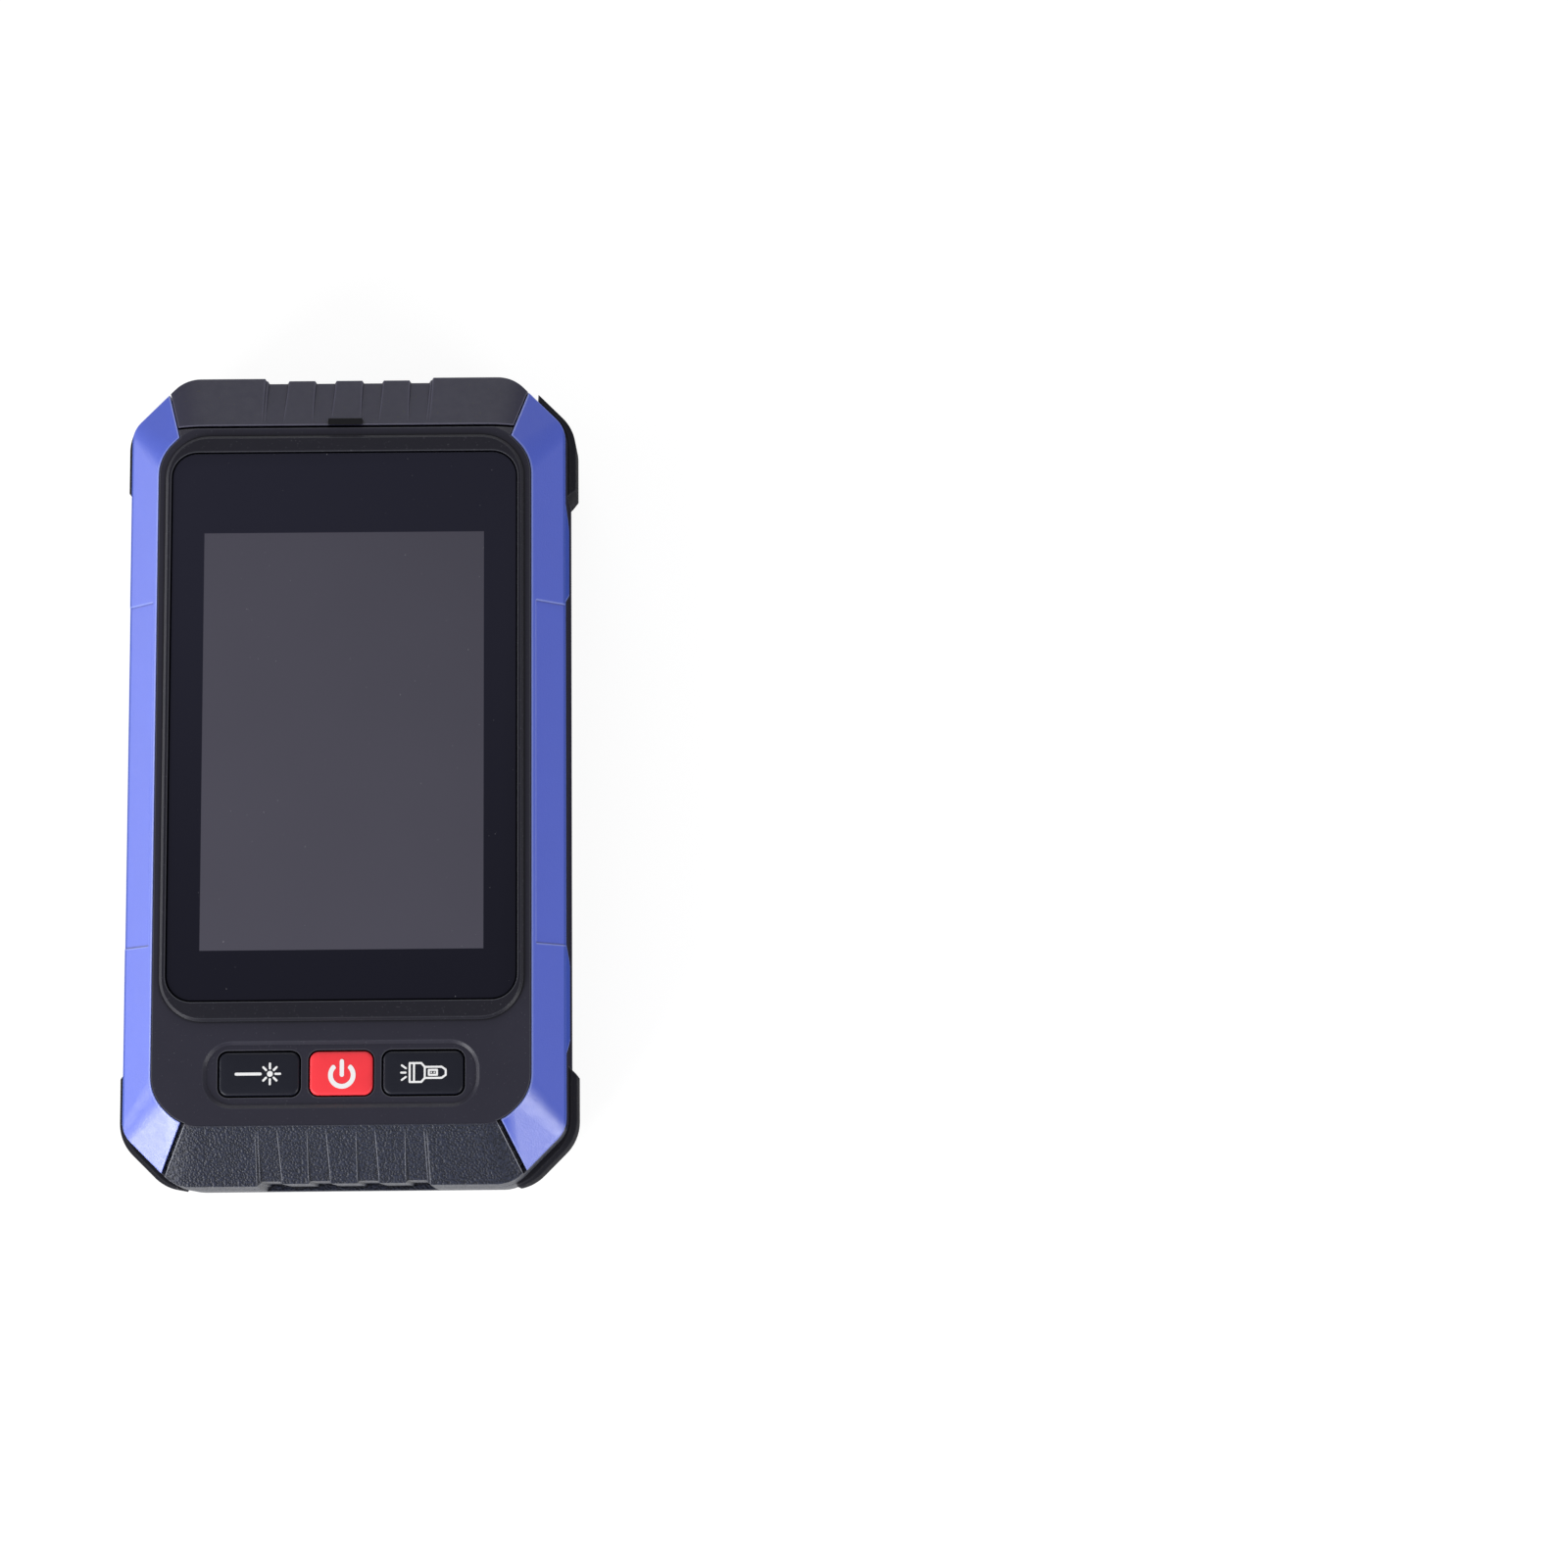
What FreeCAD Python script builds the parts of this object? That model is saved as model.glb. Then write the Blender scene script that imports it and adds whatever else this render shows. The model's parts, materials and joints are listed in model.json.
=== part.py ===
import FreeCAD, Part

import math
import os

from FreeCAD import Vector as V

# Handheld optical time domain reflectometer, lying on its back, in millimetres.
# +X is to the right of the keys, +Y is towards the port end, +Z comes out of the screen.
# The origin is the centre of the bottom of the whole box.

# Housing outline at its shoulder, where the sloped faces begin
SHOULDER_HALF_WIDTH = 38.4
SHOULDER_HALF_LENGTH = 71.6
SHOULDER_CORNER_LEG = 9.3        # what each 45 degree corner takes off the width and length together
SHOULDER_Z = 22.4
SIDE_CORNER_RADIUS = 5.0         # between the side and the 45 degree corner
END_CORNER_RADIUS = 6.5          # between the 45 degree corner and the end
SHOULDER_CORNER = SHOULDER_HALF_WIDTH + SHOULDER_HALF_LENGTH - SHOULDER_CORNER_LEG

# Belt of the housing, which the lower walls keep down to the rounded back
SIDE_DRAFT = 0.2
END_DRAFT = 0.4
CORNER_DRAFT = 0.5
BELT_Z = 14.8
BACK_ROUNDING = 3.6
BACK_STEPS = 3
BELT_HALF_WIDTH = SHOULDER_HALF_WIDTH + SIDE_DRAFT
BELT_HALF_LENGTH = SHOULDER_HALF_LENGTH + END_DRAFT
BELT_CORNER = SHOULDER_CORNER + CORNER_DRAFT

# Flat front panel
PANEL_Z = 28.2
SIDE_SLOPE_RUN = 5.68
END_SLOPE_RUN = 10.15
PANEL_CORNER_LEG = 5.37
PANEL_CORNER_RADIUS = 8.0
PANEL_HALF_WIDTH = SHOULDER_HALF_WIDTH - SIDE_SLOPE_RUN
PANEL_HALF_LENGTH = SHOULDER_HALF_LENGTH - END_SLOPE_RUN
PANEL_CORNER = PANEL_HALF_WIDTH + PANEL_HALF_LENGTH - PANEL_CORNER_LEG
SLOPE_DROP = PANEL_Z - SHOULDER_Z
SIDE_SLOPE = SLOPE_DROP / SIDE_SLOPE_RUN

# Walls and the joint between the shells
WALL = 3.2
FLOOR = 2.4
PANEL_THICKNESS = 3.2
PART_Z = 17.0
SHADOW_GAP = 0.3
SHADOW_DEPTH = 0.8
SEAL_WIDTH = 0.8
SEAL_DEPTH = 1.0
SEAL_INSET = 1.8
CEILING_Z = PANEL_Z - PANEL_THICKNESS
SEAL_LOW_Z = PART_Z - SEAL_DEPTH

# Keypad recess at the hand end of the panel, and its keys
KEYPAD_SIDE_MARGIN = 8.92
KEYPAD_END_MARGIN = 3.05
KEYPAD_LENGTH = 11.5
KEYPAD_RADIUS = 5.0
KEYPAD_DEPTH = 0.45
KEYPAD_WALL_RUN = 0.6
KEYPAD_HALF_WIDTH = PANEL_HALF_WIDTH - KEYPAD_SIDE_MARGIN
KEYPAD_BOTTOM_Y = KEYPAD_END_MARGIN - PANEL_HALF_LENGTH
KEYPAD_TOP_Y = KEYPAD_BOTTOM_Y + KEYPAD_LENGTH
KEYPAD_Z = PANEL_Z - KEYPAD_DEPTH
KEY_OFF_CENTRE = 0.15
KEY_LENGTH = 7.5
KEY_RADIUS = 1.5
POWER_KEY_WIDTH = 10.8
KEY_SPACING = 1.8
KEY_SIDE_MARGIN = 2.8
KEY_GAP = 0.3
KEY_PROUD = 0.3                  # key top above the keypad recess
KEY_EDGE = 0.45
KEY_FLANGE = 0.7                 # how far the hidden flange stands out
KEY_FLANGE_THICKNESS = 0.8
KEY_FLANGE_GAP = 0.15
KEY_TRAVEL = 0.6
KEY_STOP_GAP = 0.15
KEY_Y = KEYPAD_BOTTOM_Y + KEYPAD_LENGTH / 2 + KEY_OFF_CENTRE
SIDE_KEY_WIDTH = KEYPAD_HALF_WIDTH - KEY_SIDE_MARGIN - POWER_KEY_WIDTH / 2 - KEY_SPACING
SIDE_KEY_X = POWER_KEY_WIDTH / 2 + KEY_SPACING + SIDE_KEY_WIDTH / 2
KEY_FLANGE_TOP_Z = CEILING_Z - KEY_FLANGE_GAP
KEY_FOOT_Z = KEY_FLANGE_TOP_Z - KEY_FLANGE_THICKNESS

# Screen, from its raised surround inwards
RING_SIDE_MARGIN = 1.32
RING_END_MARGIN = 1.76
RING_KEYPAD_GAP = 3.47
RING_RADIUS = 7.5
RING_HEIGHT = 0.8
RING_BEVEL = 0.45
RING_SIDE_WIDTH = 1.18
RING_TOP_WIDTH = 3.07
RING_BOTTOM_WIDTH = 3.47
GLASS_RADIUS = 4.4
GLASS_THICKNESS = 1.1
GLASS_PROUD = 0.6                # glass top above the front panel
GLASS_GAP = 0.15
GLASS_EDGE_BEVEL = 0.2
ADHESIVE_THICKNESS = 0.2
ADHESIVE_WIDTH = 1.4
DISPLAY_SIDE_BORDER = 2.92
DISPLAY_TOP_BORDER = 11.42
DISPLAY_BOTTOM_BORDER = 1.96
DISPLAY_GAP = 0.2
DISPLAY_GLASS_GAP = 0.1
DISPLAY_FRAME_THICKNESS = 0.5
DISPLAY_FRAME_LAP = 1.2
DISPLAY_FRAME_SIDE_LAP = 3.4
DISPLAY_FRAME_BORDER = 8.0
RING_HALF_WIDTH = PANEL_HALF_WIDTH - RING_SIDE_MARGIN
RING_TOP_Y = PANEL_HALF_LENGTH - RING_END_MARGIN
RING_BOTTOM_Y = KEYPAD_TOP_Y + RING_KEYPAD_GAP
GLASS_HALF_WIDTH = RING_HALF_WIDTH - RING_SIDE_WIDTH
GLASS_TOP_Y = RING_TOP_Y - RING_TOP_WIDTH
GLASS_BOTTOM_Y = RING_BOTTOM_Y + RING_BOTTOM_WIDTH
DISPLAY_HALF_WIDTH = GLASS_HALF_WIDTH - DISPLAY_SIDE_BORDER
DISPLAY_TOP_Y = GLASS_TOP_Y - DISPLAY_TOP_BORDER
DISPLAY_BOTTOM_Y = GLASS_BOTTOM_Y + DISPLAY_BOTTOM_BORDER
GLASS_TOP_Z = PANEL_Z + GLASS_PROUD
GLASS_LOW_Z = GLASS_TOP_Z - GLASS_THICKNESS
POCKET_Z = GLASS_LOW_Z - ADHESIVE_THICKNESS

# Keypad electronics, from the keys downwards
MAT_WEB = 0.6
MAT_PAD = 0.3
MAT_RIM = 1.2
MAT_SIDE_INSET = 0.8             # from the edge of the keypad recess
MAT_END_REACH = 1.85             # beyond the keys
SWITCH_SIZE = 6.0
SWITCH_LENGTH = 5.0
SWITCH_HEIGHT = 1.4
BOARD_THICKNESS = 1.2
KEY_BOARD_SIDE_REACH = 4.4       # beyond the keypad recess
KEY_BOARD_RIM = 0.6              # beyond the mat
KEY_BOARD_SCREW_INSET = 2.6
MAT_HALF_WIDTH = KEYPAD_HALF_WIDTH - MAT_SIDE_INSET
MAT_HALF_LENGTH = KEY_LENGTH / 2 + MAT_END_REACH
MAT_TOP_Z = KEY_FOOT_Z - KEY_TRAVEL - KEY_STOP_GAP
SWITCH_TOP_Z = MAT_TOP_Z - MAT_PAD - MAT_WEB
KEY_BOARD_TOP_Z = SWITCH_TOP_Z - SWITCH_HEIGHT
KEY_BOARD_LOW_Z = KEY_BOARD_TOP_Z - BOARD_THICKNESS
KEY_BOARD_HALF_WIDTH = KEYPAD_HALF_WIDTH + KEY_BOARD_SIDE_REACH
KEY_BOARD_HALF_LENGTH = MAT_HALF_LENGTH + KEY_BOARD_RIM
KEY_BOARD_SCREW_X = KEY_BOARD_HALF_WIDTH - KEY_BOARD_SCREW_INSET

# Ribbed ends: grooves that fade out towards the front panel
RIB_FIELD_HALF_WIDTH = 14.7
RIB_FIELD_DEPTH = 0.4
RIB_DEPTH = 0.45                 # further depth of each groove inside the field
RIB_STEP_RUN = 0.6
RIB_PITCH = 8.4
RIB_GROOVE_WIDTH = 3.2
RIB_GROOVES = 4
RIB_WALL_BOTTOM_Z = 7.0
RIB_START = 0.6
RIB_OVERRUN = 1.5

# Side trims, whose slanted ends run from the panel's corner to the shoulder. Each end line
# stops short of the panel's corner at its inner end and of the shoulder's at its outer end.
TRIM_THICKNESS = 1.4
TRIM_LIP_DROP = 1.2              # below the shoulder
TRIM_SEAM = 0.12
TRIM_COVER_SEAM = 0.2
TRIM_BAND_SEAM = 0.8
TRIM_TOP_INNER_SIDE_MARGIN = 3.62
TRIM_TOP_INNER_END_MARGIN = 2.1
TRIM_TOP_OUTER_SIDE_MARGIN = 6.4
TRIM_TOP_OUTER_END_MARGIN = 2.7
TRIM_BOTTOM_INNER_SIDE_MARGIN = 5.12
TRIM_BOTTOM_INNER_END_MARGIN = 0.65
TRIM_BOTTOM_OUTER_SIDE_MARGIN = 6.8
TRIM_BOTTOM_OUTER_END_MARGIN = 2.4
TRIM_FIELD_MARGIN = 0.78         # from the panel's edge
TRIM_FIELD_END_MARGIN = 41.4     # from the shoulder's end
TRIM_FIELD_DEPTH = 0.3
SKIRT_DROP = 9.4
SKIRT_END_RUN = 3.0
UPPER_SKIRT_MARGINS = (40.6, 22.9)
LOWER_SKIRT_MARGINS = (22.6, 41.6)
TRIM_TOP_INNER = (PANEL_HALF_WIDTH - TRIM_TOP_INNER_SIDE_MARGIN,
                  PANEL_HALF_LENGTH - TRIM_TOP_INNER_END_MARGIN)
TRIM_TOP_OUTER = (SHOULDER_HALF_WIDTH - TRIM_TOP_OUTER_SIDE_MARGIN,
                  SHOULDER_HALF_LENGTH - TRIM_TOP_OUTER_END_MARGIN)
TRIM_BOTTOM_INNER = (PANEL_HALF_WIDTH - TRIM_BOTTOM_INNER_SIDE_MARGIN,
                     TRIM_BOTTOM_INNER_END_MARGIN - PANEL_HALF_LENGTH)
TRIM_BOTTOM_OUTER = (SHOULDER_HALF_WIDTH - TRIM_BOTTOM_OUTER_SIDE_MARGIN,
                     TRIM_BOTTOM_OUTER_END_MARGIN - SHOULDER_HALF_LENGTH)
TRIM_LIP_Z = SHOULDER_Z - TRIM_LIP_DROP
SKIRT_Z = TRIM_LIP_Z - SKIRT_DROP
TRIM_FIELD_X = PANEL_HALF_WIDTH + TRIM_FIELD_MARGIN
TRIM_FIELD_HALF_LENGTH = SHOULDER_HALF_LENGTH - TRIM_FIELD_END_MARGIN
UPPER_SKIRT = [SHOULDER_HALF_LENGTH - m for m in UPPER_SKIRT_MARGINS]
LOWER_SKIRT = [m - SHOULDER_HALF_LENGTH for m in LOWER_SKIRT_MARGINS]

# Corner bumpers
BUMPER_PROUD = 1.4
BUMPER_CORNER_PROUD = 2.2
BUMPER_RADIUS = 8.0
BUMPER_SEAT = 0.8
BUMPER_SIDE_LENGTH = 21.0
BUMPER_TOP_END_WIDTH = 5.3
BUMPER_BOTTOM_END_WIDTH = 9.1
BUMPER_LOW_Z = 3.8
BUMPER_HIGH_Z = 16.6
BUMPER_BEVEL = 1.0

# Port cover and its hinge
COVER_THICKNESS = 2.0
COVER_PANEL_GAP = 0.25
COVER_SEAT_GAP = 0.25
COVER_FOOT_GAP = 0.6
COVER_LIP_HALF_WIDTH = 3.0
COVER_LIP_LENGTH = 1.1
COVER_LIP_HEIGHT = 0.35
HINGE_Z = 4.2
HINGE_RADIUS = 2.2
PIN_RADIUS = 0.8
PIN_RUNNING_GAP = 0.05
KNUCKLE_INNER_X = 12.0
KNUCKLE_OUTER_X = 20.0
KNUCKLE_GAP = 0.2
HINGE_PIN_HALF_LENGTH = 24.0
HINGE_Y = BELT_HALF_LENGTH - HINGE_RADIUS
BAY_FLOOR_Z = HINGE_Z + HINGE_RADIUS
COVER_FOOT_Z = BAY_FLOOR_Z + COVER_FOOT_GAP
KNUCKLES = [(KNUCKLE_INNER_X, KNUCKLE_OUTER_X), (-KNUCKLE_OUTER_X, -KNUCKLE_INNER_X)]

# Port bay and the plate that carries the ports
BAY_SIDE_DEPTH = 9.0
BAY_DEPTH = 10.8
BAY_WALL = 3.6
PORT_PANEL_SIDE_GAP = 1.6
PORT_PANEL_FLOOR_GAP = 0.4
PORT_PANEL_CEILING_GAP = 1.2
PORT_PANEL_FLANGE = 1.0
PORT_PANEL_FLANGE_THICKNESS = 1.2
PORT_PANEL_THICKNESS = 2.4
PORT_FIT = 0.1
BAY_HALF_WIDTH = BELT_HALF_WIDTH - BAY_SIDE_DEPTH
BAY_Y = BELT_HALF_LENGTH - BAY_DEPTH
BAY_WALL_Y = BAY_Y - BAY_WALL
PORT_PANEL_HALF_WIDTH = BAY_HALF_WIDTH - PORT_PANEL_SIDE_GAP
PORT_PANEL_LOW_Z = BAY_FLOOR_Z + PORT_PANEL_FLOOR_GAP
PORT_PANEL_HIGH_Z = CEILING_Z - PORT_PANEL_CEILING_GAP
PORT_PANEL_BACK_Y = BAY_Y - PORT_PANEL_THICKNESS

# Optical ports, from left to right
PORT_Z = 14.6
OTDR_PORT_INSET = 7.5            # from the end of the port panel
POWER_PORT_PITCH = 13.0
LOCATOR_PORT_PITCH = 12.1
FERRULE_RADIUS = 1.25
ADAPTER_FLANGE = 11.0
ADAPTER_FLANGE_THICKNESS = 1.4
ADAPTER_BARREL_RADIUS = 4.0
ADAPTER_BARREL_WALL = 0.8
ADAPTER_LENGTH = 6.6
ADAPTER_TAIL = 3.2               # reach behind the port panel's front face
ADAPTER_KEYWAY = 2.2
ADAPTER_KEYWAY_START = 1.5
SLEEVE_RADIUS = 1.6
SLEEVE_SEAT_WALL = 0.6
SLEEVE_SUNK = 1.0
POWER_CAP_RADIUS = 5.0
POWER_CAP_LENGTH = 3.63
LOCATOR_BARREL_RADIUS = 4.2
LOCATOR_LENGTH = 5.28
LOCATOR_EDGE = 0.5
OTDR_PORT_X = OTDR_PORT_INSET - PORT_PANEL_HALF_WIDTH
POWER_PORT_X = OTDR_PORT_X + POWER_PORT_PITCH
LOCATOR_PORT_X = POWER_PORT_X + LOCATOR_PORT_PITCH
TAIL_Y = BAY_Y - ADAPTER_TAIL

# Charging socket and torch lamp
SOCKET_PITCH = 11.0
SOCKET_WIDTH = 9.0
SOCKET_HEIGHT = 3.3
SOCKET_DEPTH = 7.6
SOCKET_WALL = 0.35
SOCKET_BACK = 1.0
SOCKET_TONGUE = 0.7
SOCKET_TONGUE_HALF_WIDTH = 3.3
TORCH_INSET = 3.7                # from the end of the port panel
TORCH_DROP = 4.4                 # below the top of the port panel
TORCH_RADIUS = 2.5
TORCH_RIM = 0.4
TORCH_PROUD = 1.4
TORCH_BODY = 5.0
SOCKET_X = LOCATOR_PORT_X + SOCKET_PITCH
TORCH_X = PORT_PANEL_HALF_WIDTH - TORCH_INSET
TORCH_Z = PORT_PANEL_HIGH_Z - TORCH_DROP

# Main board
MAIN_BOARD_CEILING_GAP = 1.8
MAIN_BOARD_SIDE_GAP = 6.4        # from the shoulder
MAIN_BOARD_DISPLAY_INSET = 5.0
MAIN_BOARD_BAY_GAP = 16.2
TONGUE_BAY_GAP = 6.2
TONGUE_SIDE_INSET = 1.0          # from the end of the port panel
BOARD_BOSS_RADIUS = 2.2
BOARD_BOSS_INSET = 4.0
SMALL_SCREW_RADIUS = 0.8
SMALL_SCREW_HEAD_RADIUS = 1.6
SMALL_SCREW_HEAD = 1.0
SMALL_SCREW_LENGTH = 4.0
SHIELD_HALF_WIDTH = 12.0
SHIELD_LENGTH = 24.0
SHIELD_END_INSET = 5.0
SHIELD_HEIGHT = 2.6
SHIELD_SHEET = 0.3
RIBBON_HALF_WIDTH = 6.0
RIBBON_THICKNESS = 0.3
RIBBON_LAP = 3.0
RIBBON_STEP = 1.0
MAIN_BOARD_TOP_Z = CEILING_Z - MAIN_BOARD_CEILING_GAP
MAIN_BOARD_Z = MAIN_BOARD_TOP_Z - BOARD_THICKNESS
MAIN_BOARD_HALF_WIDTH = SHOULDER_HALF_WIDTH - MAIN_BOARD_SIDE_GAP
MAIN_BOARD_BOTTOM_Y = DISPLAY_BOTTOM_Y + MAIN_BOARD_DISPLAY_INSET
MAIN_BOARD_TOP_Y = BAY_Y - MAIN_BOARD_BAY_GAP
TONGUE_HALF_WIDTH = PORT_PANEL_HALF_WIDTH - TONGUE_SIDE_INSET
TONGUE_TOP_Y = BAY_Y - TONGUE_BAY_GAP
BOARD_BOSS_X = MAIN_BOARD_HALF_WIDTH - BOARD_BOSS_RADIUS
BOARD_BOSS_Y = (MAIN_BOARD_BOTTOM_Y + BOARD_BOSS_INSET, MAIN_BOARD_TOP_Y - BOARD_BOSS_INSET)

# Optics behind the ports
LASER_RADIUS = 3.9
LASER_LENGTH = 22.0
LASER_NECK = 4.0
LASER_NECK_STEP = 1.0
LASER_MODULE_GAP = 1.5
LASER_CRADLE_HALF_WIDTH = 3.0
LASER_CRADLE_LENGTH = 6.0
LASER_CRADLE_CUP = 1.0           # below the axis of the laser
DETECTOR_RADIUS = 2.7
MODULE_WIDTH = 27.6
MODULE_LENGTH = 31.4
MODULE_BAY_GAP = 1.2
MODULE_HEIGHT = 13.0
MODULE_WALL = 1.6
MODULE_LID = 1.2
MODULE_POST_RADIUS = 2.4
MODULE_SCREW_INSET = 3.2
REEL_RADIUS = 9.5
REEL_LASER_GAP = 2.0
REEL_MODULE_OFFSET = 12.0
REEL_HUB_RADIUS = 6.5
REEL_HEIGHT = 6.0
REEL_FLANGE = 0.8
REEL_BORE_RADIUS = 2.0
MODULE_TOP_Y = BAY_WALL_Y - MODULE_BAY_GAP
MODULE_BOTTOM_Y = MODULE_TOP_Y - MODULE_LENGTH
MODULE_RIGHT_X = LOCATOR_PORT_X - LASER_RADIUS - LASER_MODULE_GAP
MODULE_LEFT_X = MODULE_RIGHT_X - MODULE_WIDTH
MODULE_TOP_Z = FLOOR + MODULE_HEIGHT
LASER_BACK_Y = TAIL_Y - LASER_LENGTH
REEL_PLACE = (LOCATOR_PORT_X + LASER_RADIUS + REEL_LASER_GAP + REEL_RADIUS,
              MODULE_BOTTOM_Y + REEL_MODULE_OFFSET)

# Battery
CELL_RADIUS = 9.2
CELL_SPACING = 0.8
CELL_END_MARGIN = 27.5           # from the hand end of the housing
CELL_MODULE_GAP = 4.5
CELL_FLOOR_GAP = 0.6
CELL_TIP_RADIUS = 2.8
CELL_TIP = 0.8
HOLDER_WALL = 1.4
HOLDER_HEIGHT = 10.0
HOLDER_GAP = 0.3
PLUG_WIDTH = 7.0
PLUG_LENGTH = 5.0
PLUG_HEIGHT = 4.5
PLUG_CELL_GAP = 3.7
PLUG_Y = 10.0
CELL_X = CELL_RADIUS + CELL_SPACING / 2
CELL_Z = FLOOR + CELL_FLOOR_GAP + CELL_RADIUS
CELL_BOTTOM_Y = CELL_END_MARGIN - BELT_HALF_LENGTH
CELL_TOP_Y = MODULE_BOTTOM_Y - CELL_MODULE_GAP
HOLDER_HALF_WIDTH = CELL_X + CELL_RADIUS + HOLDER_GAP + HOLDER_WALL
PLUG_X = -(CELL_X + CELL_RADIUS + PLUG_CELL_GAP + PLUG_WIDTH / 2)

# Buzzer
BUZZER_RADIUS = 4.5
BUZZER_HOLDER_GAP = 1.0
BUZZER_Y = -12.0
BUZZER_HEIGHT = 3.6
BUZZER_HOLE_RADIUS = 1.0
BUZZER_HOLE_PITCH = 2.25
BUZZER_X = HOLDER_HALF_WIDTH + BUZZER_HOLDER_GAP + BUZZER_RADIUS

# Screws that close the housing from the back
CASE_SCREW_SIDE_INSET = 6.4
CASE_SCREW_HAND_INSET = 15.0
CASE_SCREW_PORT_INSET = 22.0
CASE_BOSS_RADIUS = 3.4
CASE_SCREW_RADIUS = 1.25
CASE_SCREW_HEAD_RADIUS = 2.3
CASE_SCREW_HEAD = 1.6
CASE_SCREW_LENGTH = 17.0
CASE_SCREW_POCKET = 3.0
CASE_SCREW_POCKET_RADIUS = 2.8
CASE_SCREW_DRIVE_RADIUS = 1.25
CASE_SCREW_DRIVE_DEPTH = 0.8
INSERT_RADIUS = 1.9
INSERT_LENGTH = 4.5
CASE_SCREW_X = BELT_HALF_WIDTH - CASE_SCREW_SIDE_INSET
CASE_SCREW_Y = (CASE_SCREW_HAND_INSET - BELT_HALF_LENGTH, BELT_HALF_LENGTH - CASE_SCREW_PORT_INSET)

# Sizes that serve the making only
FAR = 90.0                       # beyond the housing, for cutters
OVERCUT = 1.0                    # how far a cutter runs past a face
ROOT = 0.5                       # how deep a boss or arm is rooted in its wall
POST_SIDES = 8                   # sides of hidden posts, drills and screws
ROUND_SIDES = 24                 # sides of larger round parts that are hidden


# Basic solids

def box(x0, x1, y0, y1, z0, z1):
    return Part.makeBox(x1 - x0, y1 - y0, z1 - z0, V(x0, y0, z0))


def rod_x(y, z, x0, x1, radius):
    return Part.makeCylinder(radius, x1 - x0, V(x0, y, z), V(1, 0, 0))


def rod_y(x, z, y0, y1, radius):
    return Part.makeCylinder(radius, y1 - y0, V(x, y0, z), V(0, 1, 0))


def prism(points, direction):
    """Solid swept from a closed flat polygon along a straight direction."""
    return Part.Face(Part.makePolygon(points + points[:1])).extrude(direction)


def post(x, y, z0, z1, radius, sides=POST_SIDES):
    """Many-sided upright post, drill or screw that nobody sees from outside."""
    turn = 2 * math.pi / sides
    return prism([V(x + radius * math.cos(i * turn), y + radius * math.sin(i * turn), z0)
                  for i in range(sides)], V(0, 0, z1 - z0))


def post_y(x, z, y0, y1, radius, sides=ROUND_SIDES):
    """Many-sided round part along Y that nobody sees from outside."""
    turn = 2 * math.pi / sides
    return prism([V(x + radius * math.cos(i * turn), y0, z + radius * math.sin(i * turn))
                  for i in range(sides)], V(0, y1 - y0, 0))


def rounded_wire(x0, x1, y0, y1, radius, z):
    """Rectangle with four round corners."""
    d = radius * (1 - math.sqrt(0.5))
    starts = [V(x0 + radius, y0, z), V(x1, y0 + radius, z), V(x1 - radius, y1, z), V(x0, y1 - radius, z)]
    ends = [V(x1 - radius, y0, z), V(x1, y1 - radius, z), V(x0 + radius, y1, z), V(x0, y0 + radius, z)]
    mids = [V(x1 - d, y0 + d, z), V(x1 - d, y1 - d, z), V(x0 + d, y1 - d, z), V(x0 + d, y0 + d, z)]
    edges = []
    for i in range(4):
        edges.append(Part.makeLine(starts[i], ends[i]))
        edges.append(Part.Arc(ends[i], mids[i], starts[(i + 1) % 4]).toShape())
    return Part.Wire(edges)


def rounded_plate(x0, x1, y0, y1, radius, z0, z1):
    return Part.Face(rounded_wire(x0, x1, y0, y1, radius, z0)).extrude(V(0, 0, z1 - z0))


def mirrored(shape):
    return shape.mirror(V(0, 0, 0), V(1, 0, 0))


def top_edges(shape, z):
    return [e for e in shape.Edges if abs(e.BoundBox.ZMin - z) < 1e-4 and abs(e.BoundBox.ZMax - z) < 1e-4]


def save(name, shape):
    """Writes one named sub-part."""
    shape.exportStep("parts/" + name + ".step")


# Housing envelope

def outline(half_width, half_length, corner, side_radius, end_radius, z):
    """Octagonal outline drawn counterclockwise from the right side, as a list of edges.
    Its eight corners are arcs, or sharp where the radii are zero."""
    t = math.tan(math.pi / 8)
    diagonal = math.sqrt(0.5)
    side_y = corner - half_width
    end_x = corner - half_length
    if not side_radius:
        corners = [V(a * x, b * y, z) for a, b, x, y in (
            (1, 1, half_width, side_y), (1, 1, end_x, half_length), (-1, 1, end_x, half_length),
            (-1, 1, half_width, side_y), (-1, -1, half_width, side_y), (-1, -1, end_x, half_length),
            (1, -1, end_x, half_length), (1, -1, half_width, side_y))]
        return [Part.makeLine(a, b) for a, b in zip(corners, corners[1:] + corners[:1])]
    quarter = [
        V(half_width, side_y - side_radius * t, z),
        V(half_width - side_radius * (1 - math.cos(math.pi / 8)),
          side_y - side_radius * (t - math.sin(math.pi / 8)), z),
        V(half_width - side_radius * t * diagonal, side_y + side_radius * t * diagonal, z),
        V(end_x + end_radius * t * diagonal, half_length - end_radius * t * diagonal, z),
        V(end_x - end_radius * (t - math.sin(math.pi / 8)),
          half_length - end_radius * (1 - math.cos(math.pi / 8)), z),
        V(end_x - end_radius * t, half_length, z),
    ]
    points = list(quarter)
    points += [V(-p.x, p.y, z) for p in reversed(quarter)]
    points += [V(-p.x, -p.y, z) for p in quarter]
    points += [V(p.x, -p.y, z) for p in reversed(quarter)]
    edges = []
    for i in range(0, len(points), 3):
        edges.append(Part.Arc(points[i], points[i + 1], points[i + 2]).toShape())
        edges.append(Part.makeLine(points[i + 2], points[(i + 3) % len(points)]))
    return edges


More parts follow.
